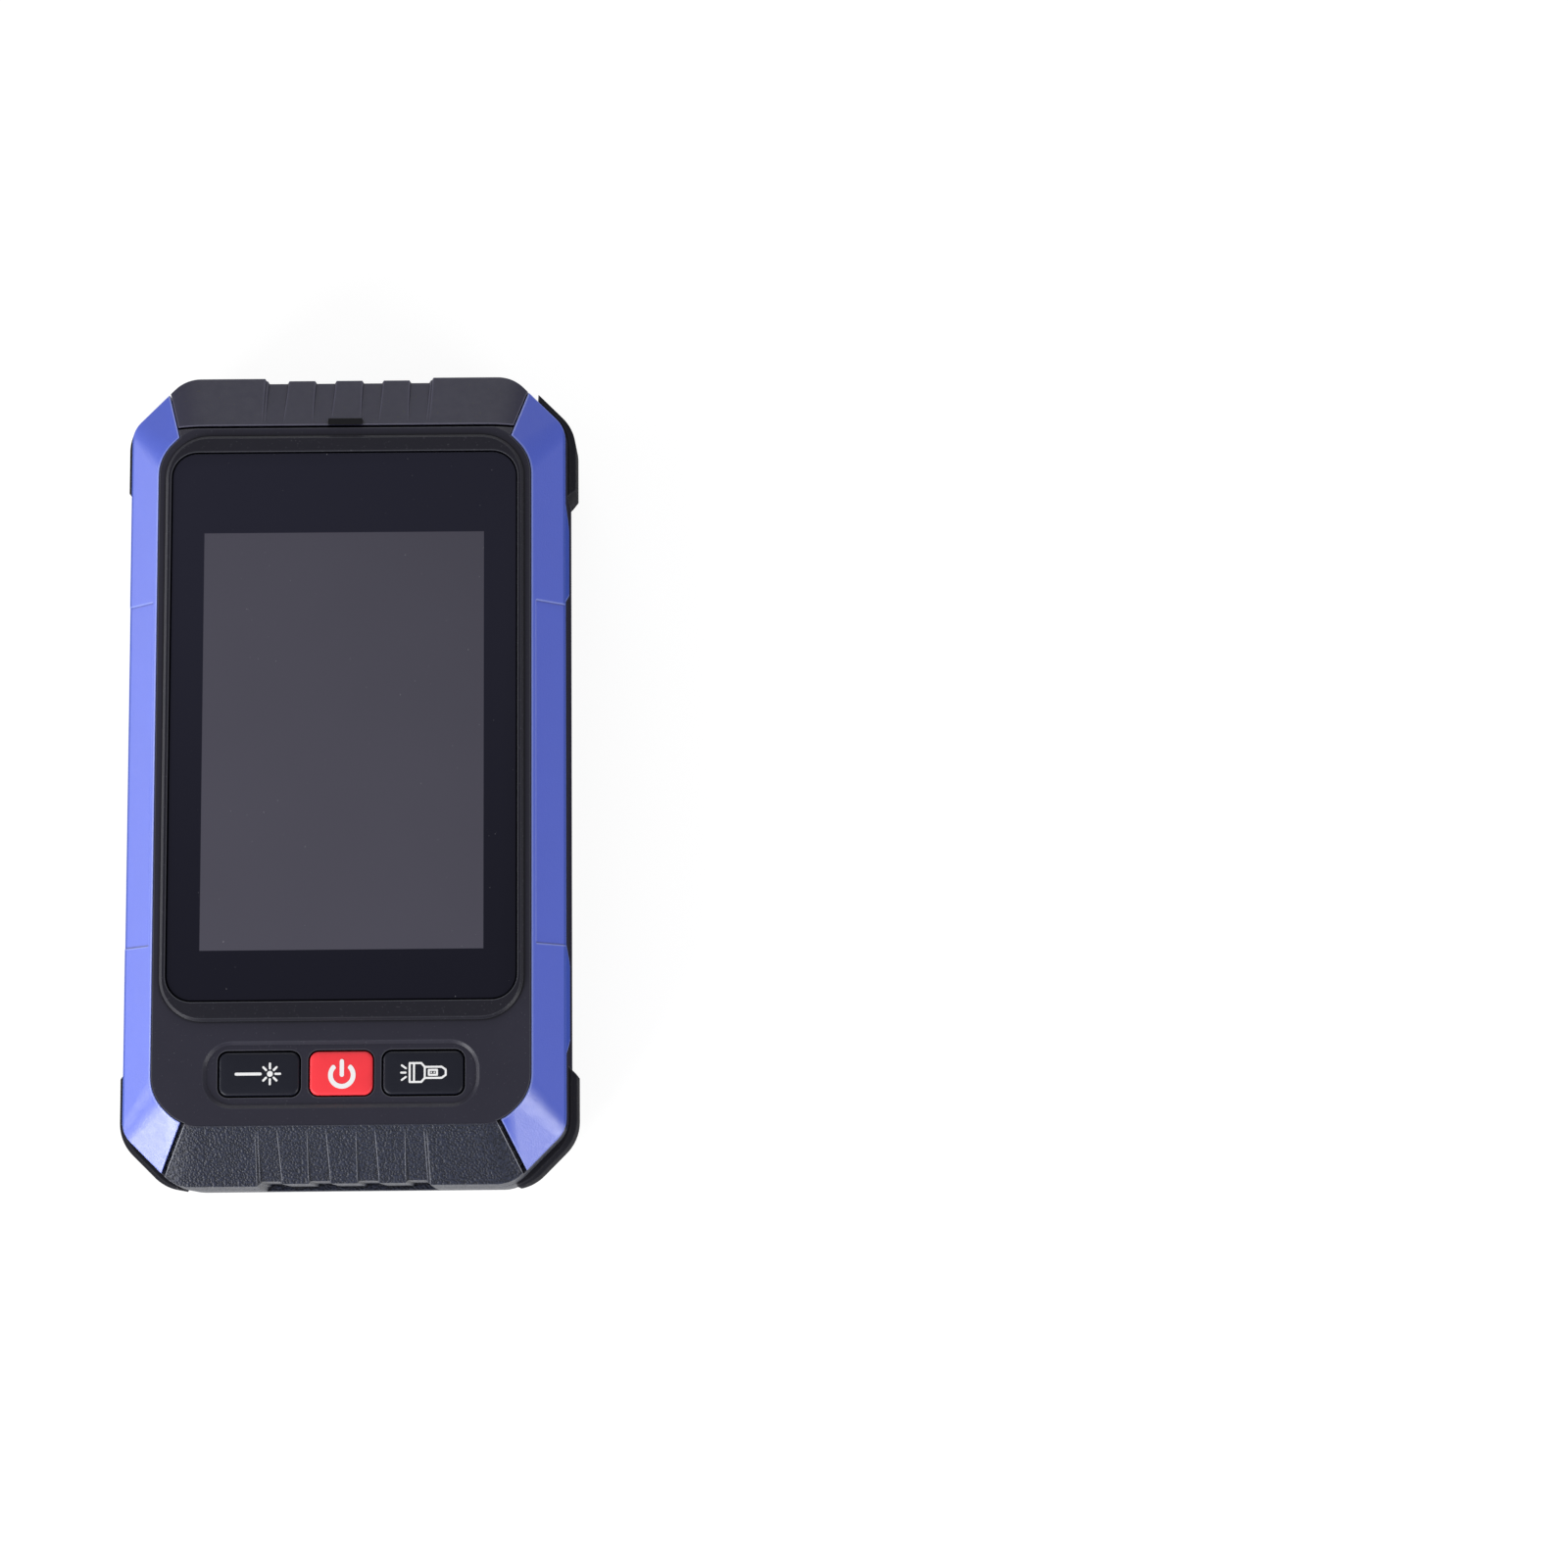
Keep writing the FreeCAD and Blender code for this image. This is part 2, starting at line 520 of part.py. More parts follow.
def side_face(low, high):
    """Face between two matching edges, flat where they are straight."""
    if low.Curve.TypeId != "Part::GeomLine":
        return Part.makeRuledSurface(low, high)
    a, b = low.Vertexes[0].Point, low.Vertexes[-1].Point
    c, d = high.Vertexes[-1].Point, high.Vertexes[0].Point
    return Part.Face(Part.makePolygon([a, b, c, d, a]))


def stacked(rings):
    """Closed solid through a stack of outlines."""
    faces = [Part.Face(Part.Wire(rings[0])), Part.Face(Part.Wire(rings[-1]))]
    for low, high in zip(rings, rings[1:]):
        faces += [side_face(a, b) for a, b in zip(low, high)]
    shell = Part.Shell(faces)
    shell.sewShape()
    solid = Part.Solid(shell)
    if solid.Volume < 0:
        solid.reverse()
    return solid


def slope_shift(run):
    """Sideways move of a slope's upper edge for each millimetre that its face moves inwards."""
    return (math.hypot(run, SLOPE_DROP) - run) / SLOPE_DROP


def housing(inset=0.0, floor_z=0.0):
    """The closed housing, with every wall moved inwards by the inset. Inner walls have sharp corners."""
    outer = inset <= 0
    radii = (SIDE_CORNER_RADIUS - inset, END_CORNER_RADIUS - inset) if outer else (0, 0)
    panel_radii = (PANEL_CORNER_RADIUS, PANEL_CORNER_RADIUS) if outer else (0, 0)

    def belt(more, z):
        moved = inset + more
        return outline(BELT_HALF_WIDTH - moved, BELT_HALF_LENGTH - moved, BELT_CORNER - moved * math.sqrt(2),
                       *radii, z)

    corner_run = (SHOULDER_CORNER - PANEL_CORNER) * math.sqrt(0.5)
    shoulder = outline(SHOULDER_HALF_WIDTH - inset, SHOULDER_HALF_LENGTH - inset,
                       SHOULDER_CORNER - inset * math.sqrt(2), *radii,
                       SHOULDER_Z - inset * slope_shift(SIDE_SLOPE_RUN))
    panel = outline(PANEL_HALF_WIDTH - inset * slope_shift(SIDE_SLOPE_RUN),
                    PANEL_HALF_LENGTH - inset * slope_shift(END_SLOPE_RUN),
                    PANEL_CORNER - inset * slope_shift(corner_run) * math.sqrt(2),
                    *panel_radii, PANEL_Z - inset)
    rings = [belt(0, BELT_Z), shoulder, panel]
    if outer:
        rounding = []
        for i in range(BACK_STEPS + 1):
            turn = math.pi / 2 * i / BACK_STEPS
            rounding.append(belt(BACK_ROUNDING * (1 - math.sin(turn)),
                                 floor_z + BACK_ROUNDING * (1 - math.cos(turn))))
        return stacked(rounding + rings)
    return stacked([belt(0, floor_z)] + rings)


def slope_z(x):
    """Height of the side slope's surface at a distance from the centre line."""
    return PANEL_Z - SIDE_SLOPE * (x - PANEL_HALF_WIDTH)


# Ribbed ends

def groove(x0, x1, depth, full_depth, end):
    """Groove in the sloped end, as deep as stated at the shoulder and fading out at the panel,
    and its run down the end wall. End is 1 at the port end and -1 at the other."""
    length = math.hypot(END_SLOPE_RUN, SLOPE_DROP)
    along = V(0, end * END_SLOPE_RUN / length, -SLOPE_DROP / length)
    normal = V(0, end * SLOPE_DROP / length, END_SLOPE_RUN / length)
    start = V(0, end * PANEL_HALF_LENGTH, PANEL_Z)
    flare = RIB_STEP_RUN / full_depth
    above = 2 * OVERCUT

    def section(distance):
        sunk = depth * (distance - RIB_START) / (length - RIB_START)
        spread = flare * (sunk + above)
        at = start + along * distance
        return Part.makePolygon([at + V(x, 0, 0) + normal * n for x, n in (
            (x0, -sunk), (x1, -sunk), (x1 + spread, above), (x0 - spread, above), (x0, -sunk))])

    slope = Part.makeLoft([section(RIB_START), section(length + RIB_OVERRUN)], True, True)
    floor_y = SHOULDER_HALF_LENGTH - depth
    out = BELT_HALF_LENGTH + OVERCUT
    spread = flare * (out - floor_y)
    z = RIB_WALL_BOTTOM_Z
    wall = prism([V(x0, end * floor_y, z), V(x1, end * floor_y, z),
                  V(x1 + spread, end * out, z), V(x0 - spread, end * out, z)],
                 V(0, 0, SHOULDER_Z + RIB_FIELD_DEPTH - z))
    return slope.fuse(wall)


def rib_cutter(end):
    """The shallow field across the middle of an end and the deeper grooves in it."""
    full = RIB_FIELD_DEPTH + RIB_DEPTH
    cutter = groove(-RIB_FIELD_HALF_WIDTH, RIB_FIELD_HALF_WIDTH, RIB_FIELD_DEPTH, full, end)
    for i in range(RIB_GROOVES):
        x = (i - (RIB_GROOVES - 1) / 2) * RIB_PITCH
        cutter = cutter.fuse(groove(x - RIB_GROOVE_WIDTH / 2, x + RIB_GROOVE_WIDTH / 2, full, full, end))
    return cutter


# Side trims

def trim_area(cover_seam, band_seam):
    """Plan area right of the centre line between the two slanted end lines of a trim."""
    def stretched(inner, outer, shift):
        direction = V(outer[0] - inner[0], outer[1] - inner[1], 0).normalize()
        side = V(-direction.y, direction.x, 0) if inner[1] > 0 else V(direction.y, -direction.x, 0)
        base = V(inner[0], inner[1], 0) + side * shift
        return base - direction * 2 * OVERCUT, base + direction * FAR / 4

    top_in, top_out = stretched(TRIM_TOP_INNER, TRIM_TOP_OUTER, cover_seam)
    low_in, low_out = stretched(TRIM_BOTTOM_INNER, TRIM_BOTTOM_OUTER, band_seam)
    return prism([low_in, low_out, V(FAR, low_out.y, 0), V(FAR, top_out.y, 0), top_out, top_in],
                 V(0, 0, PANEL_Z + OVERCUT))


def trim_skirts(grow):
    """Side view of the strip below the shoulder and the two skirts."""
    body = box(0, FAR, -FAR, FAR, TRIM_LIP_Z - grow, PANEL_Z + OVERCUT)
    for y0, y1 in (UPPER_SKIRT, LOWER_SKIRT):
        z0 = SKIRT_Z - grow
        z1 = TRIM_LIP_Z
        body = body.fuse(prism([V(0, y0 - grow, z1), V(0, y1 + grow, z1), V(0, y1 + grow - SKIRT_END_RUN, z0),
                                V(0, y0 - grow + SKIRT_END_RUN, z0)], V(FAR, 0, 0)))
    return body


def trim_envelope(grow=0.0, cover_seam=0.0, band_seam=0.0):
    """Space of the right trim, grown by its seams where the shells make room for it."""
    edge = outline(PANEL_HALF_WIDTH - grow, PANEL_HALF_LENGTH - grow, PANEL_CORNER - grow * math.sqrt(2),
                   PANEL_CORNER_RADIUS, PANEL_CORNER_RADIUS, 0)
    panel = Part.Face(Part.Wire(edge)).extrude(V(0, 0, PANEL_Z + 2 * OVERCUT))
    layer = housing(-2 * grow).cut(housing(TRIM_THICKNESS))
    return layer.common(trim_area(cover_seam, band_seam)).common(trim_skirts(grow)).cut(panel)


def side_trim():
    """Right trim, with its shallow sunk field on the slope."""
    x0 = TRIM_FIELD_X
    x1 = SHOULDER_HALF_WIDTH + 3 * OVERCUT
    sink = TRIM_FIELD_DEPTH * math.hypot(1.0, SIDE_SLOPE)
    half = TRIM_FIELD_HALF_LENGTH
    field = prism([V(x0, -half, slope_z(x0) - sink), V(x1, -half, slope_z(x1) - sink),
                   V(x1, -half, PANEL_Z), V(x0, -half, PANEL_Z)], V(0, 2 * half, 0))
    return trim_envelope().cut(field)


# Corner bumpers

def bumper_space(upper):
    """Bumper at the right of the port end or of the other end."""
    end = 1 if upper else -1
    end_x = BELT_HALF_WIDTH - (BUMPER_TOP_END_WIDTH if upper else BUMPER_BOTTOM_END_WIDTH)
    low, high = BUMPER_LOW_Z, BUMPER_HIGH_Z

    def ring(shrink, z):
        return outline(BELT_HALF_WIDTH + BUMPER_PROUD - shrink, BELT_HALF_LENGTH,
                       BELT_CORNER + BUMPER_CORNER_PROUD - shrink, BUMPER_RADIUS, BUMPER_RADIUS, z)

    outer = stacked([ring(BUMPER_BEVEL, low), ring(0, low + BUMPER_BEVEL), ring(0, high - BUMPER_BEVEL),
                     ring(BUMPER_BEVEL, high)])
    core = outline(BELT_HALF_WIDTH - BUMPER_SEAT, BELT_HALF_LENGTH - BUMPER_SEAT,
                   BELT_CORNER - BUMPER_SEAT * math.sqrt(2), 0, 0, low)
    inner = Part.Face(Part.Wire(core)).extrude(V(0, 0, high - low))
    side_y = BELT_HALF_LENGTH - BUMPER_SIDE_LENGTH
    reach = FAR - BELT_HALF_WIDTH
    plan = ((end_x, side_y), (BELT_HALF_WIDTH, side_y), (FAR, side_y + reach), (FAR, 2 * FAR),
            (end_x, 2 * FAR))
    area = prism([V(x, end * y, low) for x, y in plan], V(0, 0, high - low))
    return outer.cut(inner).common(area)


# Port cover

def cover_area(gap):
    """Plan area of the cover: beyond the panel's edge, between the two slanted trim lines."""
    direction = V(TRIM_TOP_OUTER[0] - TRIM_TOP_INNER[0], TRIM_TOP_OUTER[1] - TRIM_TOP_INNER[1], 0)
    lean = direction.x / direction.y
    y0 = PANEL_HALF_LENGTH + gap
    y1 = BELT_HALF_LENGTH + 5 * OVERCUT
    x0 = TRIM_TOP_INNER[0] + lean * (y0 - TRIM_TOP_INNER[1]) - gap
    x1 = TRIM_TOP_INNER[0] + lean * (y1 - TRIM_TOP_INNER[1]) - gap
    return prism([V(-x0, y0, 0), V(x0, y0, 0), V(x1, y1, 0), V(-x1, y1, 0)], V(0, 0, PANEL_Z + 2 * OVERCUT))


def port_cover():
    """Ribbed cover, with two knuckles on arms at its foot and a finger lip at its free edge."""
    skin = housing().cut(housing(COVER_THICKNESS)).common(cover_area(COVER_PANEL_GAP))
    skin = skin.cut(box(-FAR, FAR, 0, FAR, -OVERCUT, COVER_FOOT_Z))
    cover = skin.cut(rib_cutter(1))
    y0 = PANEL_HALF_LENGTH + COVER_PANEL_GAP
    lip = box(-COVER_LIP_HALF_WIDTH, COVER_LIP_HALF_WIDTH, y0, y0 + COVER_LIP_LENGTH,
              PANEL_Z - COVER_THICKNESS, PANEL_Z + COVER_LIP_HEIGHT)
    cover = cover.fuse(lip)
    wall_y = BELT_HALF_LENGTH - COVER_THICKNESS
    for x0, x1 in KNUCKLES:
        arm = box(x0, x1, wall_y, BELT_HALF_LENGTH, HINGE_Z, COVER_FOOT_Z + ROOT)
        cover = cover.fuse([arm, rod_x(HINGE_Y, HINGE_Z, x0, x1, HINGE_RADIUS)])
    return cover.cut(hinge_bore()).removeSplitter()


def hinge_bore():
    reach = HINGE_PIN_HALF_LENGTH + PIN_RUNNING_GAP
    return rod_x(HINGE_Y, HINGE_Z, -reach, reach, PIN_RADIUS + PIN_RUNNING_GAP)


def cover_hinge_pin():
    return rod_x(HINGE_Y, HINGE_Z, -HINGE_PIN_HALF_LENGTH, HINGE_PIN_HALF_LENGTH, PIN_RADIUS)


def fixed_hinge():
    """Barrel along the foot of the port bay, with gaps where the cover's knuckles turn."""
    half = BAY_HALF_WIDTH + COVER_THICKNESS
    back_y = HINGE_Y - HINGE_RADIUS - KNUCKLE_GAP
    barrel = box(-half, half, back_y - ROOT, HINGE_Y, 0, BAY_FLOOR_Z)
    barrel = barrel.fuse(rod_x(HINGE_Y, HINGE_Z, -half, half, HINGE_RADIUS)).common(housing())
    for x0, x1 in KNUCKLES:
        barrel = barrel.cut(box(x0 - KNUCKLE_GAP, x1 + KNUCKLE_GAP, back_y, FAR, -OVERCUT, PART_Z))
    return barrel


# Cutters shared by the two shells

def port_bay():
    """Open space behind the cover, the seat of the cover and the opening for the port panel."""
    bay = box(-BAY_HALF_WIDTH, BAY_HALF_WIDTH, BAY_Y, FAR, BAY_FLOOR_Z, PANEL_Z + 2 * OVERCUT)
    seat = housing(-OVERCUT).cut(housing(COVER_THICKNESS + COVER_SEAT_GAP)).common(cover_area(0.0))
    hole = PORT_PANEL_HALF_WIDTH + PORT_FIT
    opening = box(-hole, hole, BAY_WALL_Y - OVERCUT, BAY_Y + OVERCUT, PORT_PANEL_LOW_Z - PORT_FIT,
                  PORT_PANEL_HIGH_Z + PORT_FIT)
    grow = PORT_PANEL_FLANGE + PORT_FIT
    slot = box(-PORT_PANEL_HALF_WIDTH - grow, PORT_PANEL_HALF_WIDTH + grow, PORT_PANEL_BACK_Y,
               PORT_PANEL_BACK_Y + PORT_PANEL_FLANGE_THICKNESS + PORT_FIT,
               PORT_PANEL_LOW_Z - grow, PORT_PANEL_HIGH_Z + grow)
    return bay.fuse([seat.cut(box(-FAR, FAR, 0, FAR, -OVERCUT, BAY_FLOOR_Z)), opening, slot])


def cavity():
    """Inside of the housing, which ends at the wall of the port bay."""
    inside = housing(WALL, FLOOR)
    keep = box(-FAR, FAR, -FAR, BAY_WALL_Y, 0, CEILING_Z)
    return inside.common(keep)


def seal_ring(z0, z1):
    """Ring in the rim of the rear shell, stopped by the port bay."""
    def rim(inset):
        edge = outline(BELT_HALF_WIDTH - inset, BELT_HALF_LENGTH - inset, BELT_CORNER - inset * math.sqrt(2),
                       0, 0, z0)
        return Part.Face(Part.Wire(edge)).extrude(V(0, 0, z1 - z0))
    ring = rim(SEAL_INSET).cut(rim(SEAL_INSET + SEAL_WIDTH))
    stop = BAY_HALF_WIDTH + 2 * COVER_THICKNESS
    return ring.cut(box(-stop, stop, 0, FAR, 0, FAR))


def case_screw_places():
    return [(x, y) for y in CASE_SCREW_Y for x in (-CASE_SCREW_X, CASE_SCREW_X)]


def board_screw_places():
    return [(x, y) for y in BOARD_BOSS_Y for x in (-BOARD_BOSS_X, BOARD_BOSS_X)]


def key_board_screw_places():
    return [(-KEY_BOARD_SCREW_X, KEY_Y), (KEY_BOARD_SCREW_X, KEY_Y)]


def key_places():
    """Name, centre and width of each key."""
    return [("fault_locator_key", -SIDE_KEY_X, SIDE_KEY_WIDTH), ("power_key", 0.0, POWER_KEY_WIDTH),
            ("torch_key", SIDE_KEY_X, SIDE_KEY_WIDTH)]


# Shells

def front_shell(envelope, bay, inside, trims):
    shell = envelope.cut(box(-FAR, FAR, -FAR, FAR, -OVERCUT, PART_Z))
    ring = rounded_plate(-RING_HALF_WIDTH, RING_HALF_WIDTH, RING_BOTTOM_Y, RING_TOP_Y, RING_RADIUS,
                         PANEL_Z - ROOT, PANEL_Z + RING_HEIGHT)
    ring = ring.makeChamfer(RING_BEVEL, top_edges(ring, PANEL_Z + RING_HEIGHT))
    shell = shell.fuse(ring)

    # Seat of the glass and window for the display
    g = GLASS_GAP
    pocket = rounded_plate(-GLASS_HALF_WIDTH - g, GLASS_HALF_WIDTH + g, GLASS_BOTTOM_Y - g, GLASS_TOP_Y + g,
                           GLASS_RADIUS + g, POCKET_Z, PANEL_Z + 2 * OVERCUT)
    d = DISPLAY_GAP
    window = box(-DISPLAY_HALF_WIDTH - d, DISPLAY_HALF_WIDTH + d, DISPLAY_BOTTOM_Y - d, DISPLAY_TOP_Y + d,
                 CEILING_Z - OVERCUT, PANEL_Z)

    # Keypad recess with sloped walls, and one hole for each key
    run = KEYPAD_WALL_RUN
    sizes = (-KEYPAD_HALF_WIDTH, KEYPAD_HALF_WIDTH, KEYPAD_BOTTOM_Y, KEYPAD_TOP_Y)
    grow = (-1, 1, -1, 1)
    rim = [s + k * run * OVERCUT / KEYPAD_DEPTH for s, k in zip(sizes, grow)]
    floor = [s - k * run for s, k in zip(sizes, grow)]
    recess = Part.makeLoft([
        rounded_wire(*floor, KEYPAD_RADIUS - run, KEYPAD_Z),
        rounded_wire(*rim, KEYPAD_RADIUS + run * OVERCUT / KEYPAD_DEPTH, PANEL_Z + OVERCUT)], True, True)
    holes = []
    for _, x, width in key_places():
        w = width / 2 + KEY_GAP
        h = KEY_LENGTH / 2 + KEY_GAP
        holes.append(rounded_plate(x - w, x + w, KEY_Y - h, KEY_Y + h, KEY_RADIUS + KEY_GAP,
                                   CEILING_Z - OVERCUT, PANEL_Z))
    shell = shell.cut([pocket, window, recess] + holes)
    shell = shell.cut([inside, bay, rib_cutter(-1)] + trims)

    # Bosses for the case screws and the two boards, rooted in the ceiling
    root_z = CEILING_Z + ROOT
    bosses = [post(x, y, PART_Z, root_z, CASE_BOSS_RADIUS) for x, y in case_screw_places()]
    bosses += [post(x, y, MAIN_BOARD_TOP_Z, root_z, BOARD_BOSS_RADIUS) for x, y in board_screw_places()]
    bosses += [post(x, y, KEY_BOARD_TOP_Z, root_z, BOARD_BOSS_RADIUS) for x, y in key_board_screw_places()]
    inner = housing(TRIM_THICKNESS + ROOT)
    shell = shell.fuse([b.common(inner) for b in bosses])
    drills = [post(x, y, PART_Z - OVERCUT, PART_Z + INSERT_LENGTH, INSERT_RADIUS)
              for x, y in case_screw_places()]
    for z, places in ((MAIN_BOARD_Z, board_screw_places()), (KEY_BOARD_LOW_Z, key_board_screw_places())):
        drills += [post(x, y, z - OVERCUT, z + SMALL_SCREW_LENGTH, SMALL_SCREW_RADIUS) for x, y in places]

    # Shadow line along the joint
    shadow = box(-FAR, FAR, -FAR, FAR, PART_Z, PART_Z + SHADOW_GAP).cut(housing(SHADOW_DEPTH))
    return shell.cut(drills + [shadow]).removeSplitter()


def rear_shell(envelope, bay, inside, trims, bumpers):
    shell = envelope.cut(box(-FAR, FAR, -FAR, FAR, PART_Z, PANEL_Z + 2 * OVERCUT))
    half = BAY_HALF_WIDTH + COVER_THICKNESS
    back_y = HINGE_Y - HINGE_RADIUS - KNUCKLE_GAP
    foot = box(-half, half, back_y, FAR, -OVERCUT, COVER_FOOT_Z)
    shell = shell.cut([inside, bay, rib_cutter(-1), foot] + trims + bumpers)
    shell = shell.fuse(fixed_hinge()).cut(hinge_bore())
    shell = shell.cut(seal_ring(SEAL_LOW_Z, PART_Z + OVERCUT))

    # Screw bosses, the peg of the fibre reel and the cradle of the laser, rooted in the floor
    root_z = FLOOR - ROOT
    inner = housing(SEAL_INSET + SEAL_WIDTH, root_z)
    bosses = [post(x, y, root_z, PART_Z, CASE_BOSS_RADIUS).common(inner) for x, y in case_screw_places()]
    peg = post(*REEL_PLACE, root_z, FLOOR + REEL_HEIGHT, REEL_BORE_RADIUS - PORT_FIT)
    shell = shell.fuse(bosses + [peg, laser_cradle(root_z)])

    # Pockets and holes of the case screws, and the sound holes of the buzzer
    drills = []
    for x, y in case_screw_places():
        drills.append(post(x, y, -OVERCUT, CASE_SCREW_POCKET, CASE_SCREW_POCKET_RADIUS, ROUND_SIDES))
        drills.append(post(x, y, 0, PART_Z + OVERCUT, CASE_SCREW_RADIUS + PORT_FIT))
    for i in (-1, 0, 1):
        drills.append(post(BUZZER_X + i * BUZZER_HOLE_PITCH, BUZZER_Y, -OVERCUT, FLOOR + OVERCUT,
                           BUZZER_HOLE_RADIUS))
    return shell.cut(drills)


def laser_cradle(root_z):
    """Saddle on the rear floor that the red laser lies in."""
    middle = LASER_BACK_Y + LASER_LENGTH / 2
    half = LASER_CRADLE_LENGTH / 2
    saddle = box(LOCATOR_PORT_X - LASER_CRADLE_HALF_WIDTH, LOCATOR_PORT_X + LASER_CRADLE_HALF_WIDTH,
                 middle - half, middle + half, root_z, PORT_Z - LASER_CRADLE_CUP)
    return saddle.cut(post_y(LOCATOR_PORT_X, PORT_Z, middle - LASER_CRADLE_LENGTH,
                             middle + LASER_CRADLE_LENGTH, LASER_RADIUS))


def case_seal():
    return seal_ring(SEAL_LOW_Z, PART_Z)


# Screen

def screen_glass():
    glass = rounded_plate(-GLASS_HALF_WIDTH, GLASS_HALF_WIDTH, GLASS_BOTTOM_Y, GLASS_TOP_Y, GLASS_RADIUS,
                          GLASS_LOW_Z, GLASS_TOP_Z)
    return glass.makeChamfer(GLASS_EDGE_BEVEL, top_edges(glass, GLASS_TOP_Z))


def glass_adhesive():
    """Frame of foam tape between the glass and its seat."""
    w, y0, y1 = GLASS_HALF_WIDTH, GLASS_BOTTOM_Y, GLASS_TOP_Y
    t = ADHESIVE_WIDTH
    outer = rounded_plate(-w, w, y0, y1, GLASS_RADIUS, POCKET_Z, GLASS_LOW_Z)
    return outer.cut(box(t - w, w - t, y0 + t, y1 - t, POCKET_Z, GLASS_LOW_Z))


def display_module():
    return box(-DISPLAY_HALF_WIDTH, DISPLAY_HALF_WIDTH, DISPLAY_BOTTOM_Y, DISPLAY_TOP_Y, CEILING_Z,
               GLASS_LOW_Z - DISPLAY_GLASS_GAP)


def display_frame():
    """Sheet behind the display, with a window and holes for the bosses of the board."""
    lap, border = DISPLAY_FRAME_LAP, DISPLAY_FRAME_BORDER
    x, w = DISPLAY_HALF_WIDTH + DISPLAY_FRAME_SIDE_LAP, DISPLAY_HALF_WIDTH - border
    z0 = CEILING_Z - DISPLAY_FRAME_THICKNESS
    sheet = box(-x, x, DISPLAY_BOTTOM_Y - lap, DISPLAY_TOP_Y + lap, z0, CEILING_Z)
    window = box(-w, w, DISPLAY_BOTTOM_Y + border, DISPLAY_TOP_Y - border, z0, CEILING_Z)
    holes = [post(a, b, z0, CEILING_Z, BOARD_BOSS_RADIUS + DISPLAY_GAP) for a, b in board_screw_places()]
    return sheet.cut([window] + holes)


# Keys and what lies below them

def key(x, width):
    """Key with softened edges, and a flange that holds it below the front shell."""
    w = width / 2
    h = KEY_LENGTH / 2
    top = KEYPAD_Z + KEY_PROUD
    cap = rounded_plate(x - w, x + w, KEY_Y - h, KEY_Y + h, KEY_RADIUS, KEY_FOOT_Z, top)
    cap = cap.makeChamfer(KEY_EDGE, top_edges(cap, top))
    f = KEY_FLANGE
    return cap.fuse(box(x - w - f, x + w + f, KEY_Y - h - f, KEY_Y + h + f, KEY_FOOT_Z, KEY_FLANGE_TOP_Z))


def keypad_mat():
    """Silicone mat on the switches, with a pad below each key and a rim on the board."""
    y0, y1 = KEY_Y - MAT_HALF_LENGTH, KEY_Y + MAT_HALF_LENGTH
    web_top = MAT_TOP_Z - MAT_PAD
    mat = box(-MAT_HALF_WIDTH, MAT_HALF_WIDTH, y0, y1, KEY_BOARD_TOP_Z, web_top)
    r = MAT_RIM
    mat = mat.cut(box(-MAT_HALF_WIDTH + r, MAT_HALF_WIDTH - r, y0 + r, y1 - r, KEY_BOARD_TOP_Z, SWITCH_TOP_Z))
    pads = [post(x, KEY_Y, web_top - MAT_WEB / 2, MAT_TOP_Z, SWITCH_SIZE / 2) for _, x, _ in key_places()]
    return mat.fuse(pads)


def key_switches():
    h = SWITCH_SIZE / 2
    k = SWITCH_LENGTH / 2
    return Part.makeCompound([
        box(x - h, x + h, KEY_Y - k, KEY_Y + k, KEY_BOARD_TOP_Z, SWITCH_TOP_Z) for _, x, _ in key_places()])


def key_board():
    w, h = KEY_BOARD_HALF_WIDTH, KEY_BOARD_HALF_LENGTH
    board = box(-w, w, KEY_Y - h, KEY_Y + h, KEY_BOARD_LOW_Z, KEY_BOARD_TOP_Z)
    return board.cut([post(x, y, KEY_BOARD_LOW_Z, KEY_BOARD_TOP_Z, SMALL_SCREW_RADIUS + PORT_FIT)
                      for x, y in key_board_screw_places()])


def keypad_ribbon():
    """Flat cable that steps down from the main board to the key board."""
    t = RIBBON_THICKNESS
    y0 = MAIN_BOARD_BOTTOM_Y + RIBBON_LAP
    y1 = MAIN_BOARD_BOTTOM_Y - RIBBON_STEP
    y3 = KEY_Y + MAT_HALF_LENGTH + PORT_FIT
    y2 = KEY_Y + KEY_BOARD_HALF_LENGTH + RIBBON_STEP
    z0, z1 = MAIN_BOARD_TOP_Z, KEY_BOARD_TOP_Z
    w = RIBBON_HALF_WIDTH
    return prism([V(-w, y0, z0), V(-w, y1, z0), V(-w, y2, z1), V(-w, y3, z1), V(-w, y3, z1 + t),
                  V(-w, y2, z1 + t), V(-w, y1, z0 + t), V(-w, y0, z0 + t)], V(2 * w, 0, 0))


# Main board

def main_board():
    board = box(-MAIN_BOARD_HALF_WIDTH, MAIN_BOARD_HALF_WIDTH, MAIN_BOARD_BOTTOM_Y, MAIN_BOARD_TOP_Y,
                MAIN_BOARD_Z, MAIN_BOARD_TOP_Z)
    tongue = box(-TONGUE_HALF_WIDTH, TONGUE_HALF_WIDTH, MAIN_BOARD_TOP_Y - OVERCUT, TONGUE_TOP_Y,
                 MAIN_BOARD_Z, MAIN_BOARD_TOP_Z)
    holes = [post(x, y, MAIN_BOARD_Z, MAIN_BOARD_TOP_Z, SMALL_SCREW_RADIUS + PORT_FIT)
             for x, y in board_screw_places()]
    return board.fuse(tongue).cut(holes).removeSplitter()


